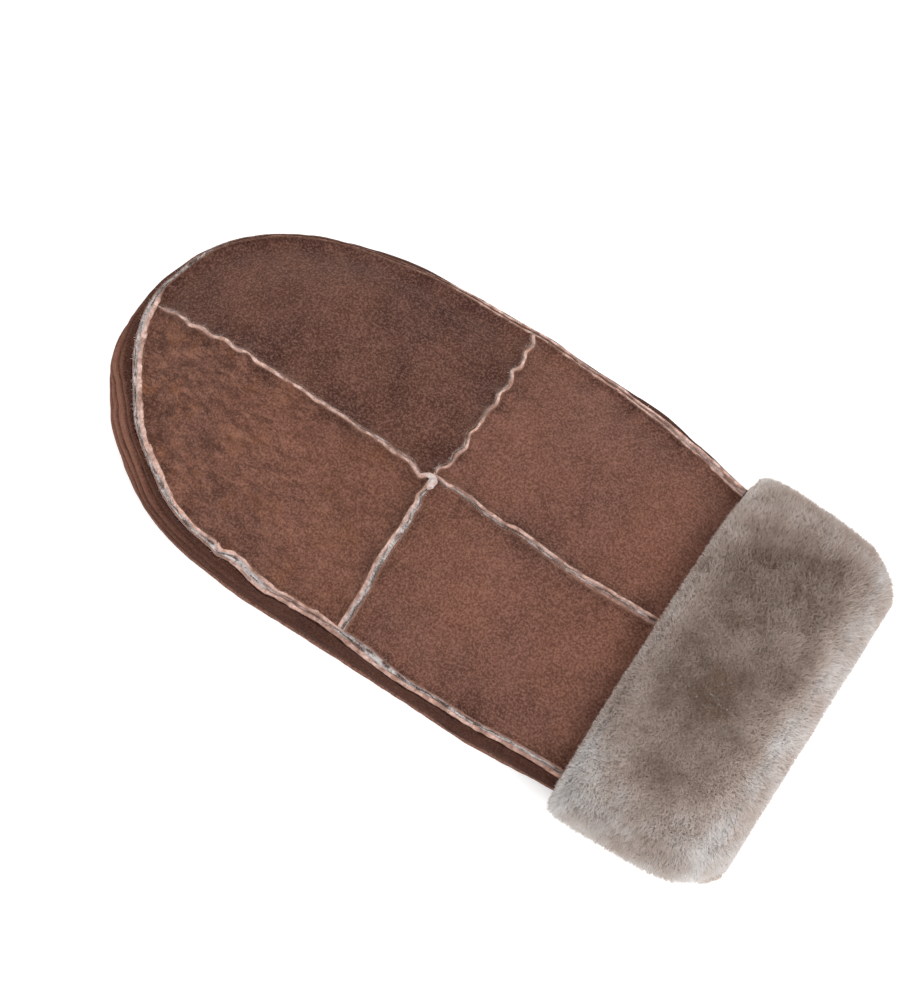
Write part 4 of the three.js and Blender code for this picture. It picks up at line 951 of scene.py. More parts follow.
# ------------------------------------------------------------------ the side band
def side_band():
    a = np.concatenate([-np.array([260, 246, 232, 222, 214, 210]), -np.arange(207.0, 90.0, -0.8),
                        np.linspace(-90, 90, 330), np.arange(90.8, 207.1, 0.8), np.array([210, 214, 222, 232, 246, 260])])
    t = cosine(26)
    A, T = np.meshgrid(a, t, indexing="ij")
    arc = np.where(np.abs(A) <= 90, A * 1.25, np.sign(A) * (112.5 + np.abs(A) - 90))
    # lengthwise folds: strong round the near side of the fingertips, faint elsewhere
    tip = np.exp(-((A + 42) / 34) ** 2) + 0.30 * np.exp(-((A - 20) / 40) ** 2)
    wander = 0.05 * noise(np.column_stack([arc.ravel(), T.ravel() * 0]), 26, 71).reshape(A.shape)
    folds = np.zeros_like(A)
    for at, wide, high in ((0.13, 0.055, 0.55), (0.33, 0.095, 0.85), (0.58, 0.085, 0.75), (0.82, 0.085, 0.80)):
        folds += high * np.exp(-np.abs((T - at - wander) / wide) ** 2.6)
    relief = folds * (0.12 + 1.5 * tip) - 0.16 * tip
    near_tip = np.exp(-((A + 34) / 22) ** 2) * np.sin(np.pi * np.clip(T, 0, 1)) ** 0.7
    relief += near_tip * (2.0 + 1.5 * noise(np.column_stack([arc.ravel(), T.ravel() * 9]), 13, 77).reshape(A.shape))
    relief += 0.35 * noise(np.column_stack([arc.ravel() / 3, T.ravel() * 8]), 3.0, 72, 2).reshape(A.shape) * np.sin(np.pi * T)
    relief += 0.9 * np.exp(-((T - 0.02) / 0.07) ** 2) * 0.4
    relief += 0.28 * np.exp(-T / 0.12) * noise(np.column_stack([arc.ravel() / 4.2, T.ravel() * 0]), 1, 73).reshape(A.shape)
    relief -= 0.5 * np.exp(-np.abs(np.abs(A) - CUFF_S) / 3.0)
    e = 0.02
    dn = band_n(A, T + e) - band_n(A, T - e)
    dz = band_z(A, T + e) - band_z(A, T - e)
    l = np.hypot(dn, dz)
    nn, nz = -dz / l, dn / l
    end = (T < 1e-6) | (T > 1 - 1e-6)
    top = smooth(1 - T / 0.16)                # the band's top follows the outer cut edge
    push = top * (np.clip(rout(A) + rout_w(A) / 2 - 0.1, -0.8, 2.4) - 1.9 + 0.2)
    lift = top * 1.1
    N = band_n(A, T) + push
    H = SKIN / 2
    outer = outward(A, N + nn * (H + relief), band_z(A, T) + lift + np.where(end, 0, nz * (H + relief)))
    inner = outward(A, N - nn * H, band_z(A, T) + lift - np.where(end, 0, nz * H))
    pts, faces = shell(outer, inner)
    P = outer.reshape(-1, 3)
    # painted shadow along the band's top under the seam's lip, and a painted dark line in the groove at its foot
    shade = 0.30 + 0.14 * noise(P, 18, 74, 2) + 0.10 * noise(P, 5, 75, 2) - 0.50 * np.exp(-T.ravel() / 0.09) - 0.40 * np.exp(-(1 - T.ravel()) / 0.06)
    shade -= 0.26 * smooth((-A.ravel() - 70) / 40)
    # painted shade in the folds' grooves and painted light on their ridges, and painted light where the band is lit
    # near the fingertips
    shade += (2.1 * np.clip(folds.ravel(), 0, 0.75) - 0.92) * np.clip(tip.ravel() + 0.10, 0, 1) + 0.30 * near_tip.ravel()
    warm = 0.25 + 0.25 * noise(P, 14, 76, 2)
    # the third channel paints light on the band near the fingertips
    look = np.clip(np.stack([shade, warm * 0.6, 0.70 * smooth(near_tip.ravel() * 1.6)], -1), 0, 1)
    ob = mesh_of("side_band_suede", pts, faces, [DEEP], {"look": np.concatenate([look, look])})
    return settle(ob, "suede", "side_band")


side_band()


# ------------------------------------------------------------------ the palm and the thumb
def pouch(rows):
    """Points and faces from profiles taken round the edge, closed at the mouth and along the middle."""
    n, m = rows.shape[:2]
    pts = rows.reshape(-1, 3)
    faces = [grid_faces(n, m)]
    j = np.arange(m - 1)
    faces.append(np.stack([(n - 1) * m + j, j, j + 1, (n - 1) * m + j + 1], -1))
    return pts, faces


def welded(pts, faces, tol=1e-4, extra=None):
    """Merges points that lie on each other and drops the faces that close up."""
    key = np.round(pts / tol).astype(np.int64)
    _, first, back = np.unique(key, axis=0, return_index=True, return_inverse=True)
    back = back.reshape(-1)
    quads, tris = [], []
    for f in faces:
        g = back[f]
        if g.shape[1] == 4:
            same = (g == np.roll(g, -1, axis=1))
            count = same.sum(1)
            quads.append(g[(count == 0) & (g[:, 0] != g[:, 2]) & (g[:, 1] != g[:, 3])])
            for row, s in zip(g[count == 1], same[count == 1]):
                tris.append(row[~s])
        else:
            ok = (g[:, 0] != g[:, 1]) & (g[:, 1] != g[:, 2]) & (g[:, 2] != g[:, 0])
            tris.extend(g[ok])
    out = [np.concatenate(quads)] if quads else []
    if tris:
        out.append(np.array(tris))
    return pts[first], out, (extra[first] if extra is not None else None)


def hide_places(straight=2.4, tip=90):
    return np.concatenate([-np.arange(BODY_END, ARC_S, -straight), np.linspace(-90, 90, tip), np.arange(ARC_S + straight, BODY_END + 0.01, straight)])


def thumb_frame():
    l = math.hypot(THUMB["s1"] - THUMB["s0"], THUMB["y1"] - THUMB["y0"])
    return l, (THUMB["s1"] - THUMB["s0"]) / l, (THUMB["y1"] - THUMB["y0"]) / l


def thumb_point(e, w, z):
    l, es, ey = thumb_frame()
    return np.stack(np.broadcast_arrays(THUMB["s0"] + es * e - ey * w, THUMB["y0"] + ey * e + es * w, z), -1)


def hole_tool(z0, z1, grow=0.0):
    l, es, ey = thumb_frame()
    q = np.arange(64) / 64 * 2 * np.pi
    u, w = (THUMB_HOLE["long"] + grow) * np.cos(q), (THUMB_HOLE["wide"] + grow) * np.sin(q)
    rows = np.stack([np.stack([THUMB_HOLE["s"] + es * u - ey * w, THUMB_HOLE["y"] + ey * u + es * w, np.full(64, z)], -1) for z in (z0, z1)])
    pts, faces = loft(rows)
    return mesh_of("hole_tool", pts, faces, [])


def palm():
    a = hide_places()
    q = np.concatenate([np.linspace(0, 0.8, 18)[:-1], np.linspace(0.8, 1, 9)])
    A, Q = np.meshgrid(a, q, indexing="ij")
    R = radius(A)
    share = Q * (1 + (flare(A) - 0.3) / R)
    s, y = plan(A, share)
    z = palm_z(A, Q)
    P = np.column_stack([s.ravel(), y.ravel()])
    soft = smooth((1 - Q) / 0.1)
    dent = (0.45 * noise(P, 26, 81, 2) + 0.16 * noise(P, 8, 82, 2)).reshape(s.shape) * soft
    keep = 1 - 0.9 * thumb_lift(s, y) * (1 - smooth((Q - 0.7) / 0.28))
    dent = dent * keep
    fold = 0.5 * np.exp(-((Q - 0.93) / 0.04) ** 2) * noise(np.column_stack([np.where(np.abs(A) > 90, A, A * 1.25).ravel() / 5, Q.ravel() * 0]), 1, 83).reshape(s.shape)
    under = np.maximum(0.3, z + dent + 0.4 * fold)
    over = z + SKIN + np.clip(dent, -0.2, 0.2) * 0
    rows = np.concatenate([np.stack([s, y, under], -1), np.stack([s, y, over], -1)[:, ::-1]], 1)
    pts, faces = pouch(rows)
    col = 0.40 + 0.2 * noise(pts, 20, 84, 2) + 0.12 * noise(pts, 6, 85, 2)
    edge = np.concatenate([Q, Q[:, ::-1]], 1).ravel()
    col = col - 0.2 * np.exp(-(1 - edge) / 0.05)
    look = np.clip(np.stack([col, 0.3 + 0.25 * noise(pts, 15, 86), 0.03 + 0 * col], -1), 0, 1)
    pts, faces, look = welded(pts, faces, extra=look)
    ob = mesh_of("palm_panel_suede", pts, faces, [SUEDE], {"look": look})
    cut(ob, hole_tool(4, 26))
    return settle(ob, "suede", "palm_panel")


def thumb_rows(inset, ring=72, stations=46, relief=False):
    l = thumb_frame()[0]
    h0, h1 = THUMB["half0"] - inset, THUMB["half1"] - inset
    u = np.linspace(0, 1, stations)
    g = 0.5 - 0.5 * np.cos(np.pi * u)
    e = lerp(-0.992 * h0, l + 0.992 * h1, g)
    wide = np.where(e < 0, h0 * np.sqrt(np.maximum(0, 1 - (e / h0) ** 2)),
                    np.where(e > l, h1 * np.sqrt(np.maximum(0, 1 - ((e - l) / h1) ** 2)), lerp(h0, h1, np.clip(e / l, 0, 1))))
    cap = np.minimum(1, np.power(wide / (0.62 * h0), 0.7))
    zc = 6.6
    high, low = (THUMB["top"] - zc - inset) * cap, (8.2 - inset) * cap
    q = (np.arange(ring) + 0.5) / ring * 2 * np.pi
    c, n = np.cos(q)[None, :], np.sin(q)[None, :]
    y = np.sign(c) * np.power(np.abs(c), 0.8) * wide[:, None]
    z = zc + np.sign(n) * np.power(np.abs(n), 0.8) * np.where(n > 0, high[:, None], low[:, None])
    z = np.maximum(inset, z)
    E = np.repeat(e[:, None], ring, 1)
    pts = thumb_point(E, y, z)
    if relief:
        d = 0.30 * noise(pts.reshape(-1, 3), 12, 91, 2).reshape(z.shape)
        pts[..., 2] += np.where(n < 0, np.maximum(d, 0) * smooth((z - 0.2) / 1.5), np.minimum(d, 0))
        pts[..., 2] = np.maximum(0.0, pts[..., 2])
    return pts


def thumb():
    pts, faces = loft(thumb_rows(0, relief=True))
    look = np.clip(np.stack([0.42 + 0.2 * noise(pts, 14, 92, 2), 0.3 + 0.2 * noise(pts, 12, 93), 0.03 + 0 * pts[:, 0]], -1), 0, 1)
    ob = mesh_of("thumb_suede", pts, faces, [SUEDE], {"look": look})
    pts, faces = loft(thumb_rows(THUMB["skin"], 48, 32))
    cut(ob, mesh_of("inside_tool", pts, faces, []))
    cut(ob, hole_tool(8, 20))
    return settle(ob, "suede", "thumb")


def thumb_seam():
    l = thumb_frame()[0]
    q0 = np.linspace(np.pi / 2, 3 * np.pi / 2, 80)
    q1 = np.linspace(-np.pi / 2, np.pi / 2, 80)
    side = np.linspace(0, 1, 56)[1:-1]
    e0 = np.concatenate([np.zeros(80), side * l, np.full(80, l), (1 - side) * l])
    qq = np.concatenate([q0, np.full(54, 3 * np.pi / 2), q1, np.full(54, np.pi / 2)])
    hh = np.concatenate([np.full(80, THUMB["half0"]), lerp(THUMB["half0"], THUMB["half1"], side), np.full(80, THUMB["half1"]),
                         lerp(THUMB["half1"], THUMB["half0"], side)])
    base = thumb_point(e0 + hh * np.cos(qq), hh * np.sin(qq), 0.0)
    t = np.concatenate([[0], np.cumsum(np.linalg.norm(np.diff(base, axis=0), axis=1))])

    def put(w, h, k=slice(None)):
        rr = hh[k] + 0.40 + h
        return thumb_point(e0[k] + rr * np.cos(qq[k]), rr * np.sin(qq[k]), 6.7 + w)
    one = np.ones(len(t))
    blend = smooth(np.minimum(t, t[-1] - t) / 6)
    wig = 0.10 * blend * noise(np.column_stack([t, t * 0]), 3.0, 94)
    pts, faces, look = ridge((-1.05 + wig, -0.15 + wig, 0.25 + wig, 1.05 + wig), (1.75 * one, 1.2 * one, 1.6 * one),
                             (0.45 * one, 0.35 * one, 0.4 * one), put, t, 95, 0.8)
    ob = mesh_of("seam_thumb_edges", pts, faces, [EDGES], {"look": look})
    return settle(ob, "raw_edge", "seam_thumb")


palm()
thumb()
thumb_seam()


# ------------------------------------------------------------------ the wool lining
PALM_Q = [0, 0.17, 0.34, 0.52, 0.7, 0.86, 1]


def hollow_rows(a, b, grow=0.0):
    """The hand's hollow round the edge: half profiles on top and underneath at angles b (degrees)."""
    A, Bq = np.meshgrid(a, np.sin(np.radians(b)), indexing="ij")
    R = radius(A)
    arc = np.abs(A) <= 90
    inset = np.where(arc, lerp(9, 7, np.abs(A) / 90), 7.0) - grow
    opened = np.where(arc, 0, smooth((np.abs(A) - 250) / 16))
    edge = 1 - (inset - 3 * opened) / R
    r = Bq * edge
    s, y = plan(A, r)
    top = back_z(A, r) - SKIN - 0.5 - WOOL + grow
    bot = palm_z(A, r / (1 + flare(A) / R)) + SKIN + 0.9 + WOOL - grow
    mid = (top + bot) / 2
    h = ((top - bot) / 2 + 3.4 * opened) * np.sqrt(np.maximum(0, 1 - Bq ** 4))
    return np.stack([s, y, mid + h], -1), np.stack([s, y, mid - h], -1)


def lining():
    a = hide_places(3.2, 64)
    A = a[:, None]
    R = radius(A)
    rr = np.linspace(0, 0.95, 16)[None, :]
    s, y = plan(A, rr)
    top = np.stack([s, y, back_z(A, rr) - SKIN - 0.75], -1)
    side = np.stack([outward(a, band_n(a, t) - back, band_z(a, t)) for t, back in ((0.22, 1.95), (0.5, 1.95), (0.82, 2.45))], 1)
    qq = np.interp(np.linspace(6, 0, 16), np.arange(7), PALM_Q)[None, :]
    s, y = plan(A, qq * (1 + (flare(A) - 0.3) / R))
    low = np.stack([s, y, palm_z(A, qq) + SKIN + 0.95], -1)[:, 1:]
    outer = np.concatenate([top, side, low], 1)
    m = outer.shape[1]
    k = m // 2 + 1
    hi, lo = hollow_rows(a, np.linspace(0, 90, k), 1.0)
    inner = np.concatenate([hi, lo[:, ::-1][:, 1:]], 1)
    if inner.shape[1] != m:
        t0, t1 = np.linspace(0, 1, inner.shape[1]), np.linspace(0, 1, m)
        inner = np.stack([np.stack([np.interp(t1, t0, row[:, c]) for c in range(3)], -1) for row in inner])
    n = len(a)
    pts = np.concatenate([outer.reshape(-1, 3), inner.reshape(-1, 3)])
    o = n * m
    faces = [grid_faces(n, m), grid_faces(n, m, o)[:, ::-1]]
    j = np.arange(m - 1)
    for row, flip in ((0, False), (n - 1, True)):       # the mouth's ring
        f = np.stack([row * m + j, row * m + j + 1, o + row * m + j + 1, o + row * m + j], -1)
        faces.append(f[:, ::-1] if flip else f)
    shape = noise(pts, 5, 101, 2)
    look = wool_colour(0.40 + 0.25 * shape, np.full(len(pts), 0.4))
    pts, faces, look = welded(pts, faces, extra=look)
    ob = mesh_of("wool_lining_body", pts, faces, [WOOL_BODY], {"look": look}, sharp=60)
    return settle(ob, "wool", "wool_back", "wool_palm")


def wool_colour(tone, along):
    """Colour of wool from dark (0) to light (1), and from root to tip."""
    tone = np.clip(tone, 0, 1)[:, None]
    dark, mid, light = srgb(160, 135, 119), srgb(224, 208, 198), srgb(252, 248, 246)
    c = np.where(tone < 0.5, lerp(dark, mid, tone * 2), lerp(mid, light, tone * 2 - 1))
    return c * lerp(0.86, 1.0, np.asarray(along)[:, None])


lining()


# ------------------------------------------------------------------ the fur cuff
def girth(s, side, over):
    """The closed line round the body at s, moved out by (side, over); the same count of points at every s."""
    def half(sign):
        a = sign * s
        R = float(radius(np.array(a)))
        pts = [(r * R, float(back_z(np.array(a), np.array(r)))) for r in (0, 0.2, 0.4, 0.58, 0.74, 0.88)]
        pts.append((R * 0.975, float(edge_top(a)) + 1.2))
        pts += [(R + float(band_n(a, t)) + SKIN / 2, float(band_z(a, t))) for t in (0.12, 0.36, 0.62, 0.88)]
        pts += [(q * (R + float(flare(a))), float(palm_z(np.array(a), np.array(q)))) for q in PALM_Q[::-1]]
        return [(sign * n, z) for n, z in pts]
    far, near = half(1), half(-1)[1:-1][::-1]
    loop = np.array(far + near)
    p, q = np.roll(loop, 1, axis=0), np.roll(loop, -1, axis=0)
    d = q - p
    l = np.hypot(d[:, 0], d[:, 1])
    on, oz = -d[:, 1] / l, d[:, 0] / l
    grow = np.where(oz < 0, 1.35 * np.power(np.maximum(-oz, 1e-9), 0.9), 1.0)
    return np.stack([np.full(len(loop), float(s)), float(spine(s)) + loop[:, 0] + on * side,
                     np.maximum(0.0, loop[:, 1] + oz * over * grow)], -1)


def closed_curve(loop, count):
    """Smooth closed curve through a loop's points, twelve points to each span; count is not used."""
    m = len(loop)
    p0, p1, p2, p3 = np.roll(loop, 1, 0), loop, np.roll(loop, -1, 0), np.roll(loop, -2, 0)
    u = np.linspace(0, 1, 12, endpoint=False)[None, :, None]
    c = 0.5 * (2 * p1[:, None] + (p2 - p0)[:, None] * u + (2 * p0 - 5 * p1 + 4 * p2 - p3)[:, None] * u * u
               + (3 * p1 - p0 - 3 * p2 + p3)[:, None] * u ** 3)
    c = c.reshape(-1, loop.shape[1])
    return c


def around(s_list, sides, overs, count=240):
    """Grid of the cuff's form: a row for each station, columns at the same shares of the way round."""
    rows = []
    for s, a, b in zip(s_list, sides, overs):
        c = closed_curve(girth(s, a, b), count)
        rows.append(c)
    rows = np.array(rows)
    ref = rows[len(rows) // 3]
    step = np.linalg.norm(np.roll(ref, -1, 0) - ref, axis=1)
    cum = np.concatenate([[0], np.cumsum(step)])
    t = np.linspace(0, cum[-1], count, endpoint=False)
    idx = np.interp(t, cum, np.arange(len(cum)))
    i0 = np.floor(idx).astype(int) % len(ref)
    f = (idx - np.floor(idx))[None, :, None]
    i1 = (i0 + 1) % len(ref)
    out = rows[:, i0] * (1 - f) + rows[:, i1] * f
    out[..., 2] = np.maximum(out[..., 2], 0.0)
    return out


def grid_normals(g, ring=True):
    du = np.gradient(g, axis=0)
    dv = (np.roll(g, -1, 1) - np.roll(g, 1, 1)) if ring else np.gradient(g, axis=1)
    return unit(np.cross(du, dv))


OUT_S = np.array([207.45, 207.8, 208.3, 209, 210, 211.5, 213.5, 216, 219, 222, 225.5, 229, 232.5, 236, 239.5, 243, 246.5, 249.5,
                  252.2, 254.6, 256.7, 258.5, 260.1, 261.5, 262.7, 263.7, 264.5, 265.2, 265.8, 266.25, 266.6, 266.75])
outer_form = around(OUT_S, cuff_side(OUT_S) - 0.9, cuff_over(OUT_S))
outer_normal = grid_normals(outer_form)
centre = outer_form[10].mean(0)
if ((outer_form[10] - centre) * outer_normal[10]).sum() < 0:
    outer_normal = -outer_normal


def star(loop_n, loop_z, angle, zc):
    """Radius of a closed star-shaped loop about (0, zc) at each angle."""
    th = np.arctan2(loop_z - zc, loop_n)
    order = np.argsort(th)
    th, rr = th[order], np.hypot(loop_n, loop_z - zc)[order]
    th = np.concatenate([th - 2 * np.pi, th, th + 2 * np.pi])
    rr = np.tile(rr, 3)
    # straight chords between the points
    i = np.clip(np.searchsorted(th, angle) - 1, 0, len(th) - 2)
    x0, y0, x1, y1 = rr[i] * np.cos(th[i]), rr[i] * np.sin(th[i]), rr[i + 1] * np.cos(th[i + 1]), rr[i + 1] * np.sin(th[i + 1])
    c, s = np.cos(angle), np.sin(angle)
    den = (x1 - x0) * s - (y1 - y0) * c
    return (x1 * y0 - x0 * y1) / np.where(np.abs(den) < 1e-9, 1e-9, -den) * 1.0


def hollow_loop(s, grow=0.0):
    b = np.linspace(0, 90, 24)
    hi, lo = hollow_rows(np.array([-s, s]), b, grow)
    mid = float(spine(s))
    n = np.concatenate([hi[1][:, 1] - mid, (lo[1][:, 1] - mid)[::-1][1:], (lo[0][:, 1] - mid)[1:], (hi[0][:, 1] - mid)[::-1][1:-1]])
    z = np.concatenate([hi[1][:, 2], lo[1][:, 2][::-1][1:], lo[0][:, 2][1:], hi[0][:, 2][::-1][1:-1]])
    return n, z


def hollow_ring(s, like, grow=0.0, squeeze=1.0):
    """Points of the hollow's wall at s, one for each point of the ring 'like'."""
    zc = 27.5
    n, z = hollow_loop(min(s, 272.0), grow)
    ang = np.arctan2(like[:, 2] - zc, like[:, 1] - float(spine(s)))
    r = np.abs(star(n, z, ang, zc)) * squeeze
    return np.stack([np.full(len(ang), s), float(spine(s)) + r * np.cos(ang), zc + r * np.sin(ang)], -1)


FUR_DEPTH = 2.3
lumps = lambda p, k: (0.75 * noise(p, 11, 111 + k, 2) + 0.45 * noise(p, 4.5, 112 + k, 2))


def cuff_body():
    """The wool's dense depth: outside, round the rim, into the mouth and back along the leather."""
    deep = outer_form - outer_normal * FUR_DEPTH
    deep[:, :, 0] = np.clip(deep[:, :, 0], 208.0, 264.6)
    flat = deep.reshape(-1, 3)
    nrm = outer_normal.reshape(-1, 3)
    flat = flat + nrm * (lumps(outer_form.reshape(-1, 3), 0) * 0.3)[:, None]
    deep = flat.reshape(deep.shape)
    deep[..., 2] = np.maximum(deep[..., 2], 0.35)
    deep[..., 0] = np.clip(deep[..., 0], 207.7, 264.3)
    middle = np.stack([deep[..., 0], np.full(deep.shape[:2], float(spine(262))), np.full(deep.shape[:2], 27.0)], -1)
    deep = lerp(deep, middle, 0.022 * smooth((deep[..., 0:1] - 254) / 8))
    ref = outer_form[-3]
    mouth = [hollow_ring(s, ref, g) for s, g in ((265.0, 2.6), (264.0, 2.2), (262.6, 2.0), (261.0, 2.0))]
    back = [around(np.array([s]), np.array([0.9]), np.array([0.9]), outer_form.shape[1])[0] for s in (261.0, 252.0, 240.0, 228.0, 218.0, 211.0, 207.7)]
    rows = np.concatenate([deep, np.array(mouth), np.array(back)])
    pts, faces = loft(rows, ring=True)
    tone = 0.42 + 0.22 * noise(pts, 10, 113, 2) + 0.10 * noise(pts, 3, 114)
    # painted shade: the under-layer is darkened so that where it shows between the strands it reads as shadow, and
    # darker still towards the mouth
    look = wool_colour(tone, np.full(len(pts), 0.25)) * (0.80 - 0.12 * smooth((pts[:, 0] - 254) / 7))[:, None]
    ob = mesh_of("cuff_wool_body", pts, faces, [WOOL_BODY], {"look": look}, sharp=70)
    return settle(ob, "wool", "cuff_fur")


cuff_body()


def sample(grid, normals, density, seed, weight=None, ring=True):
    """Roots spread over a grid: positions, normals, grid places and the random generator."""
    rng = np.random.default_rng(seed)
    n, m = grid.shape[:2]
    nxt = np.roll(grid, -1, 1) if ring else grid[:, 1:]
    cur = grid if ring else grid[:, :-1]
    a, b, c, d = cur[:-1], cur[1:], nxt[1:], nxt[:-1]
    area = 0.5 * (np.linalg.norm(np.cross(b - a, c - a), axis=-1) + np.linalg.norm(np.cross(c - a, d - a), axis=-1))
    want = area * density
    if weight is not None:
        want = want * weight
    count = np.floor(want + rng.random(want.shape)).astype(int)
    i, j = np.nonzero(count)
    rep = count[i, j]
    i, j = np.repeat(i, rep), np.repeat(j, rep)
    u, v = rng.random(len(i)), rng.random(len(i))
    k = (j + 1) % m
    mixed = lambda g: (g[i, j] * ((1 - u) * (1 - v))[:, None] + g[i + 1, j] * (u * (1 - v))[:, None]
                       + g[i + 1, k] * (u * v)[:, None] + g[i, k] * ((1 - u) * v)[:, None])
    return mixed(grid), unit(mixed(normals)), i + u, j + v, rng


def strands(name, root, direction, bend, length, width, normal, tone, rng, floor=0.15, soft=0.86, stop=None, dim=1.0):
    """Curved, tapering strands, three triangles each, with a map of their own."""
    n = len(root)
    d = unit(direction)
    p1 = root + d * (length * 0.55)[:, None] + bend * 0.25
    p2 = root + d * length[:, None] + bend
    for p in (p1, p2):
        p[:, 2] = np.maximum(p[:, 2], floor)
        p[:, 0] = np.minimum(p[:, 0], RIM_S + 0.75)
        if stop is not None:
            p[:, 0] = np.maximum(p[:, 0], stop)
    run = unit(p2 - root)
    side = np.cross(run, normal)
    flat = np.linalg.norm(side, axis=1) < 0.15
    spare = unit(np.cross(run, rng.normal(0, 1, (n, 3))))
    side = np.where(flat[:, None], spare, unit(side))
    side = unit(side + 0.45 * rng.normal(0, 1, (n, 1)) * np.cross(run, side))
    w = (width * 0.5)[:, None]
    pts = np.stack([root - side * w, root + side * w, p1 + side * w * 0.85, p1 - side * w * 0.85, p2], 1).reshape(-1, 3)
    base = np.arange(n)[:, None] * 5
    quads = base + np.array([0, 1, 2, 3])
    tris = base + np.array([3, 2, 4])
    face_n = np.cross(side, run)
    face_n = face_n * np.sign((face_n * normal).sum(1, keepdims=True) + 1e-9)
    flip = (np.cross(side, run) * normal).sum(1) < 0
    quads[flip] = quads[flip][:, ::-1]
    tris[flip] = tris[flip][:, ::-1]
    nn = unit(soft * normal + (1 - soft) * face_n)
    along = np.tile([0.0, 0.0, 0.62, 0.62, 1.0], n)
    look = wool_colour(np.repeat(tone, 5), along) * dim
    cells = int(math.ceil(math.sqrt(n)))
    cu, cv = (np.arange(n) % cells) / cells, (np.arange(n) // cells) / cells
    local = np.array([[0.12, 0.08], [0.88, 0.08], [0.88, 0.55], [0.12, 0.55], [0.5, 0.94]]) / cells
    uv = (np.stack([cu, cv], -1)[:, None, :] + local[None]).reshape(-1, 2)
    ob = mesh_of(name, pts, [quads, tris], [STRANDS], {"look": look}, uv=uv, normals=np.repeat(nn, 5, 0))
    return settle(ob, "wool")


def nearest_tuft(points, tufts):
    from mathutils.kdtree import KDTree
    tree = KDTree(len(tufts))
    for i, p in enumerate(tufts):
        tree.insert(p, i)
    tree.balance()
    return np.array([tree.find(p)[1] for p in points])


def fur(name, grid, normals, density, seed, weight=None, length=(1.9, 3.2), width=0.22, sink=2.4, most=66000,
        lean=0.22, bias=(0.0, 0.0), tone_shift=None, wander=0.28, tuft=0.34, pull=0.40):
    """Plush wool over a form: the strands start sink below it, lean together and gather into tufts."""
    root, nrm, gi, gj, rng = sample(grid, normals, density, seed, weight)
    if len(root) > most:
        keep = rng.permutation(len(root))[:most]
        root, nrm, gi, gj = root[keep], nrm[keep], gi[keep], gj[keep]
    n = len(root)
    form = root.copy()
    corner = 1.8 * np.exp(-np.maximum(0, form[:, 0] - CUFF_S) / 6.0) * smooth((form[:, 1] - spine(form[:, 0]) - 40) / 18)
    root = root - nrm * (sink + corner)[:, None]
    root[:, 2] = np.maximum(root[:, 2], 0.3)
    root[:, 0] = np.minimum(root[:, 0], 265.5)
    along = np.tile([1.0, 0.0, 0.0], (n, 1))
    along = unit(along - nrm * (along * nrm).sum(1, keepdims=True))
    across = np.cross(nrm, along)
    la = bias[0] + lean * noise(form, 13, 121, 2) + 0.35 * lean * noise(form, 5, 122) + 0.5 * np.exp(-np.maximum(0, form[:, 0] - CUFF_S) / 2.5) * (form[:, 0] < 240)
    lb = bias[1] + lean * noise(form, 13, 123, 2) + 0.35 * lean * noise(form, 5, 124)
    d = unit(nrm + along * la[:, None] + across * lb[:, None] + wander * rng.normal(0, 1, (n, 3)))
    ln = rng.uniform(*length, n) * (1 + 0.07 * noise(form, 9, 125, 2) + 0.07 * noise(form, 3, 126))
    tips = root + d * ln[:, None]
    tufts = tips[rng.permutation(n)[:max(8, int(n * tuft * 0.25))]]
    home = tufts[nearest_tuft(tips, tufts)]
    to = home - tips
    to = to - nrm * (to * nrm).sum(1, keepdims=True)
    bend = to * (pull * rng.uniform(0.5, 1.0, n))[:, None] + rng.normal(0, 0.22, (n, 3))
    tuft_tone = noise(home, 1.3, 127)
    tone = (0.315 + 0.15 * noise(form, 17, 128, 2) + 0.14 * noise(form, 6.5, 129, 2) + 0.05 * tuft_tone + rng.normal(0, 0.035, n))
    if tone_shift is not None:
        tone = tone + tone_shift(form)
    stop = 206.7 + 0.35 * noise(np.column_stack([form[:, 1], form[:, 2]]), 5, 131, 2) + 1.3 * rng.random(n) ** 1.5
    return strands(name, root, d, bend, ln, np.full(n, width) * rng.uniform(0.8, 1.2, n), nrm, tone, rng, stop=stop)


def painted_cuff_light(p):
    """Painted light and shade on the cuff's wool: lighter at its trimmed edge, towards the rim and along both sides,
    with painted shade across the middle of the top.
    """
    s, v = p[:, 0], p[:, 1] - spine(p[:, 0])
    d = np.maximum(0, s - CUFF_S)
    return (0.32 * np.exp(-(d / 7.0) ** 2) - 0.15 * np.exp(-((s - 229) / 14) ** 2) * smooth((54 - np.abs(v)) / 20)
            - 0.12 * np.exp(-((s - 229) / 14) ** 2 - ((v + 27) / 12) ** 2)
            + 0.08 * smooth((s - 244) / 12) * smooth((50 - v) / 40) + 0.52 * smooth((s - 253) / 10.5)
            + 0.46 * smooth((-v - 32) / 24) + 0.30 * smooth((v - 44) / 14))


# the top of the cuff, its lower half, and the rim with the mouth
z_mid = outer_form[:-1, :, 2]
top_w = smooth((z_mid - 16.0) / 8.0)
low_w = 1 - top_w
front = OUT_S[:-1][:, None] < 236.0
body_rows = (OUT_S[:-1] < 262.0)[:, None]
fur("cuff_fur_top_front", outer_form, outer_normal, 11.0, 201, top_w * front * body_rows, tone_shift=painted_cuff_light)
fur("cuff_fur_top_back", outer_form, outer_normal, 11.0, 202, top_w * (~front) * body_rows, tone_shift=painted_cuff_light)
fur("cuff_fur_under", outer_form, outer_normal, 2.6, 203, low_w * body_rows, length=(2.1, 3.4), width=0.42, most=26000, lean=0.4, tone_shift=painted_cuff_light)

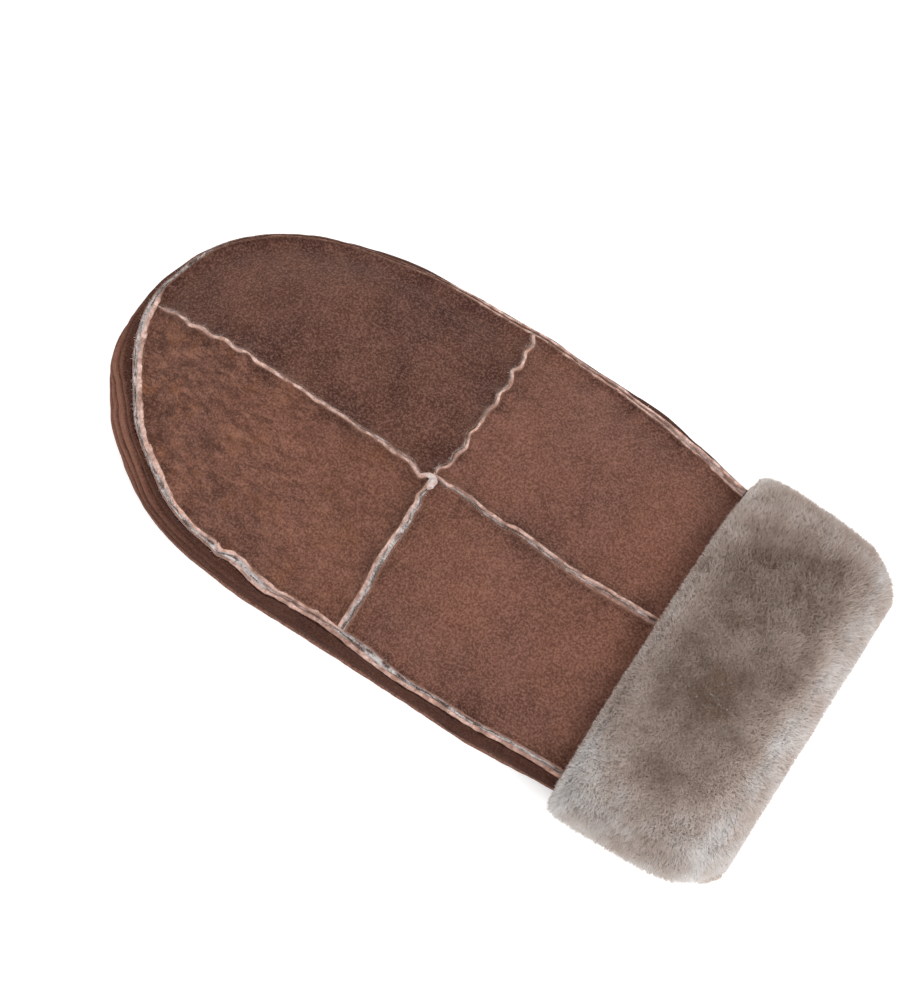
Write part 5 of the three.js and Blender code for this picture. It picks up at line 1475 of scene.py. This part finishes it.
# the front, where the wool stands off the hide; its tone is raised as painted light
foot = around(np.array([CUFF_S + 0.1]), np.array([0.5]), np.array([0.5]), outer_form.shape[1])[0]
front_face = np.stack([lerp(foot, outer_form[0], k) for k in np.linspace(0, 1, 6)])
front_face[..., 0] = CUFF_S + 0.1
front_n = np.zeros_like(front_face)
front_n[..., 0] = -1.0
fur("cuff_fur_front", front_face, front_n, 6.0, 206, None, length=(1.2, 2.0), width=0.24, sink=1.1, most=20000, lean=0.3,
    tone_shift=lambda p: 0.30 + 0 * p[:, 0])

# the rim, from the outside over the end and into the mouth; its tone is raised as painted light
ref = outer_form[-3]
inside_s = [266.4, 265.4, 263.6, 261.0, 257.5, 253.0, 247.0, 240.0, 232.0, 223.0]
inside = np.array([hollow_ring(s, ref, 0.0) for s in inside_s])
rim = np.concatenate([outer_form[-9:], inside[:5]])
rim_n = grid_normals(rim)
if ((rim[0] - rim[0].mean(0)) * rim_n[0]).sum() < 0:
    rim_n = -rim_n
fur("cuff_fur_rim", rim, rim_n, 7.5, 204, None, length=(1.9, 3.4), width=0.26, sink=2.0, most=42000, lean=0.3, bias=(0.1, 0.0),
    tone_shift=lambda p: 0.42 + 0 * p[:, 0])
deep_n = grid_normals(inside[4:])
if ((inside[4] - inside[4].mean(0)) * deep_n[0]).sum() > 0:
    deep_n = -deep_n
fur("wool_lining_fur", inside[4:], deep_n, 1.6, 205, None, length=(3.0, 5.0), width=0.42, sink=1.2, most=20000, lean=0.6, bias=(0.5, 0.0),
    tone_shift=lambda p: -0.05 + 0 * p[:, 0])

# the wool standing out of the seams
root = np.concatenate(fuzz["root"])
rng = np.random.default_rng(77)
n = len(root)
d = np.concatenate(fuzz["dir"])
strands("seam_wool", root, d, rng.normal(0, 0.28, (n, 3)), np.concatenate(fuzz["length"]), rng.uniform(0.14, 0.28, n),
        np.concatenate(fuzz["normal"]), np.concatenate(fuzz["tone"]) + 0.05, rng, dim=0.55)

# ------------------------------------------------------------------ floor, light and camera
n = Nodes("floor")
paper = n.mix(n.span(n.noise(40.0, 2.0), 0.3, 0.7), (0.90, 0.90, 0.90), (0.91, 0.91, 0.91))
floor_mat = n.finish(paper, 0.9, None, specular=0.1)
n.bsdf.inputs["Emission Color"].default_value = (1.0, 1.0, 1.0, 1.0)
n.bsdf.inputs["Emission Strength"].default_value = 0.35
size = 3.0
me = bpy.data.meshes.new("floor")
me.from_pydata([(-size, -size, 0), (size, -size, 0), (size, size, 0), (-size, size, 0)], [], [(0, 1, 2, 3)])
me.materials.append(floor_mat)
floor = bpy.data.objects.new("floor", me)
floor.location.z = -0.0002
bpy.context.scene.collection.objects.link(floor)

w = bpy.data.worlds.new("studio")
bpy.context.scene.world = w
w.use_nodes = True
w.node_tree.nodes["Background"].inputs[0].default_value = (1.0, 1.0, 1.0, 1.0)
w.node_tree.nodes["Background"].inputs[1].default_value = 1.0


def area_light(name, at, aim, size, power, colour=(1, 1, 1)):
    la = bpy.data.lights.new(name, "AREA")
    la.shape, la.size, la.energy, la.color = "DISK", size, power, colour
    ob = bpy.data.objects.new(name, la)
    ob.location = at
    ob.rotation_euler = (Vector(aim) - Vector(at)).to_track_quat("-Z", "Y").to_euler()
    bpy.context.scene.collection.objects.link(ob)


area_light("key", (0.85, -0.35, 1.05), (0.03, 0.0, 0.02), 0.8, 10.2)
area_light("fill", (-0.6, 0.7, 1.0), (0.0, 0.0, 0.02), 1.0, 3.2)

az, el, away = math.radians(33.0), math.radians(75.0), 0.940
target = Vector((-0.0093, 0.007589, 0.0))
eye = target + away * Vector((math.sin(az) * math.cos(el), -math.cos(az) * math.cos(el), math.sin(el)))
cam = bpy.data.cameras.new("camera")
cam.lens, cam.sensor_fit, cam.sensor_height, cam.sensor_width = 100.0, "VERTICAL", 36.0, 36.0
cam.clip_start, cam.clip_end = 0.01, 20.0
cam_ob = bpy.data.objects.new("camera", cam)
fwd = (target - eye).normalized()
right = Vector((math.cos(az), math.sin(az), 0.0))
up = right.cross(fwd)
cam_ob.matrix_world = Matrix(((right.x, up.x, -fwd.x, eye.x), (right.y, up.y, -fwd.y, eye.y), (right.z, up.z, -fwd.z, eye.z), (0, 0, 0, 1)))
bpy.context.scene.collection.objects.link(cam_ob)
bpy.context.scene.camera = cam_ob
bpy.context.scene.view_settings.view_transform = "Standard"
bpy.context.scene.view_settings.look = "None"
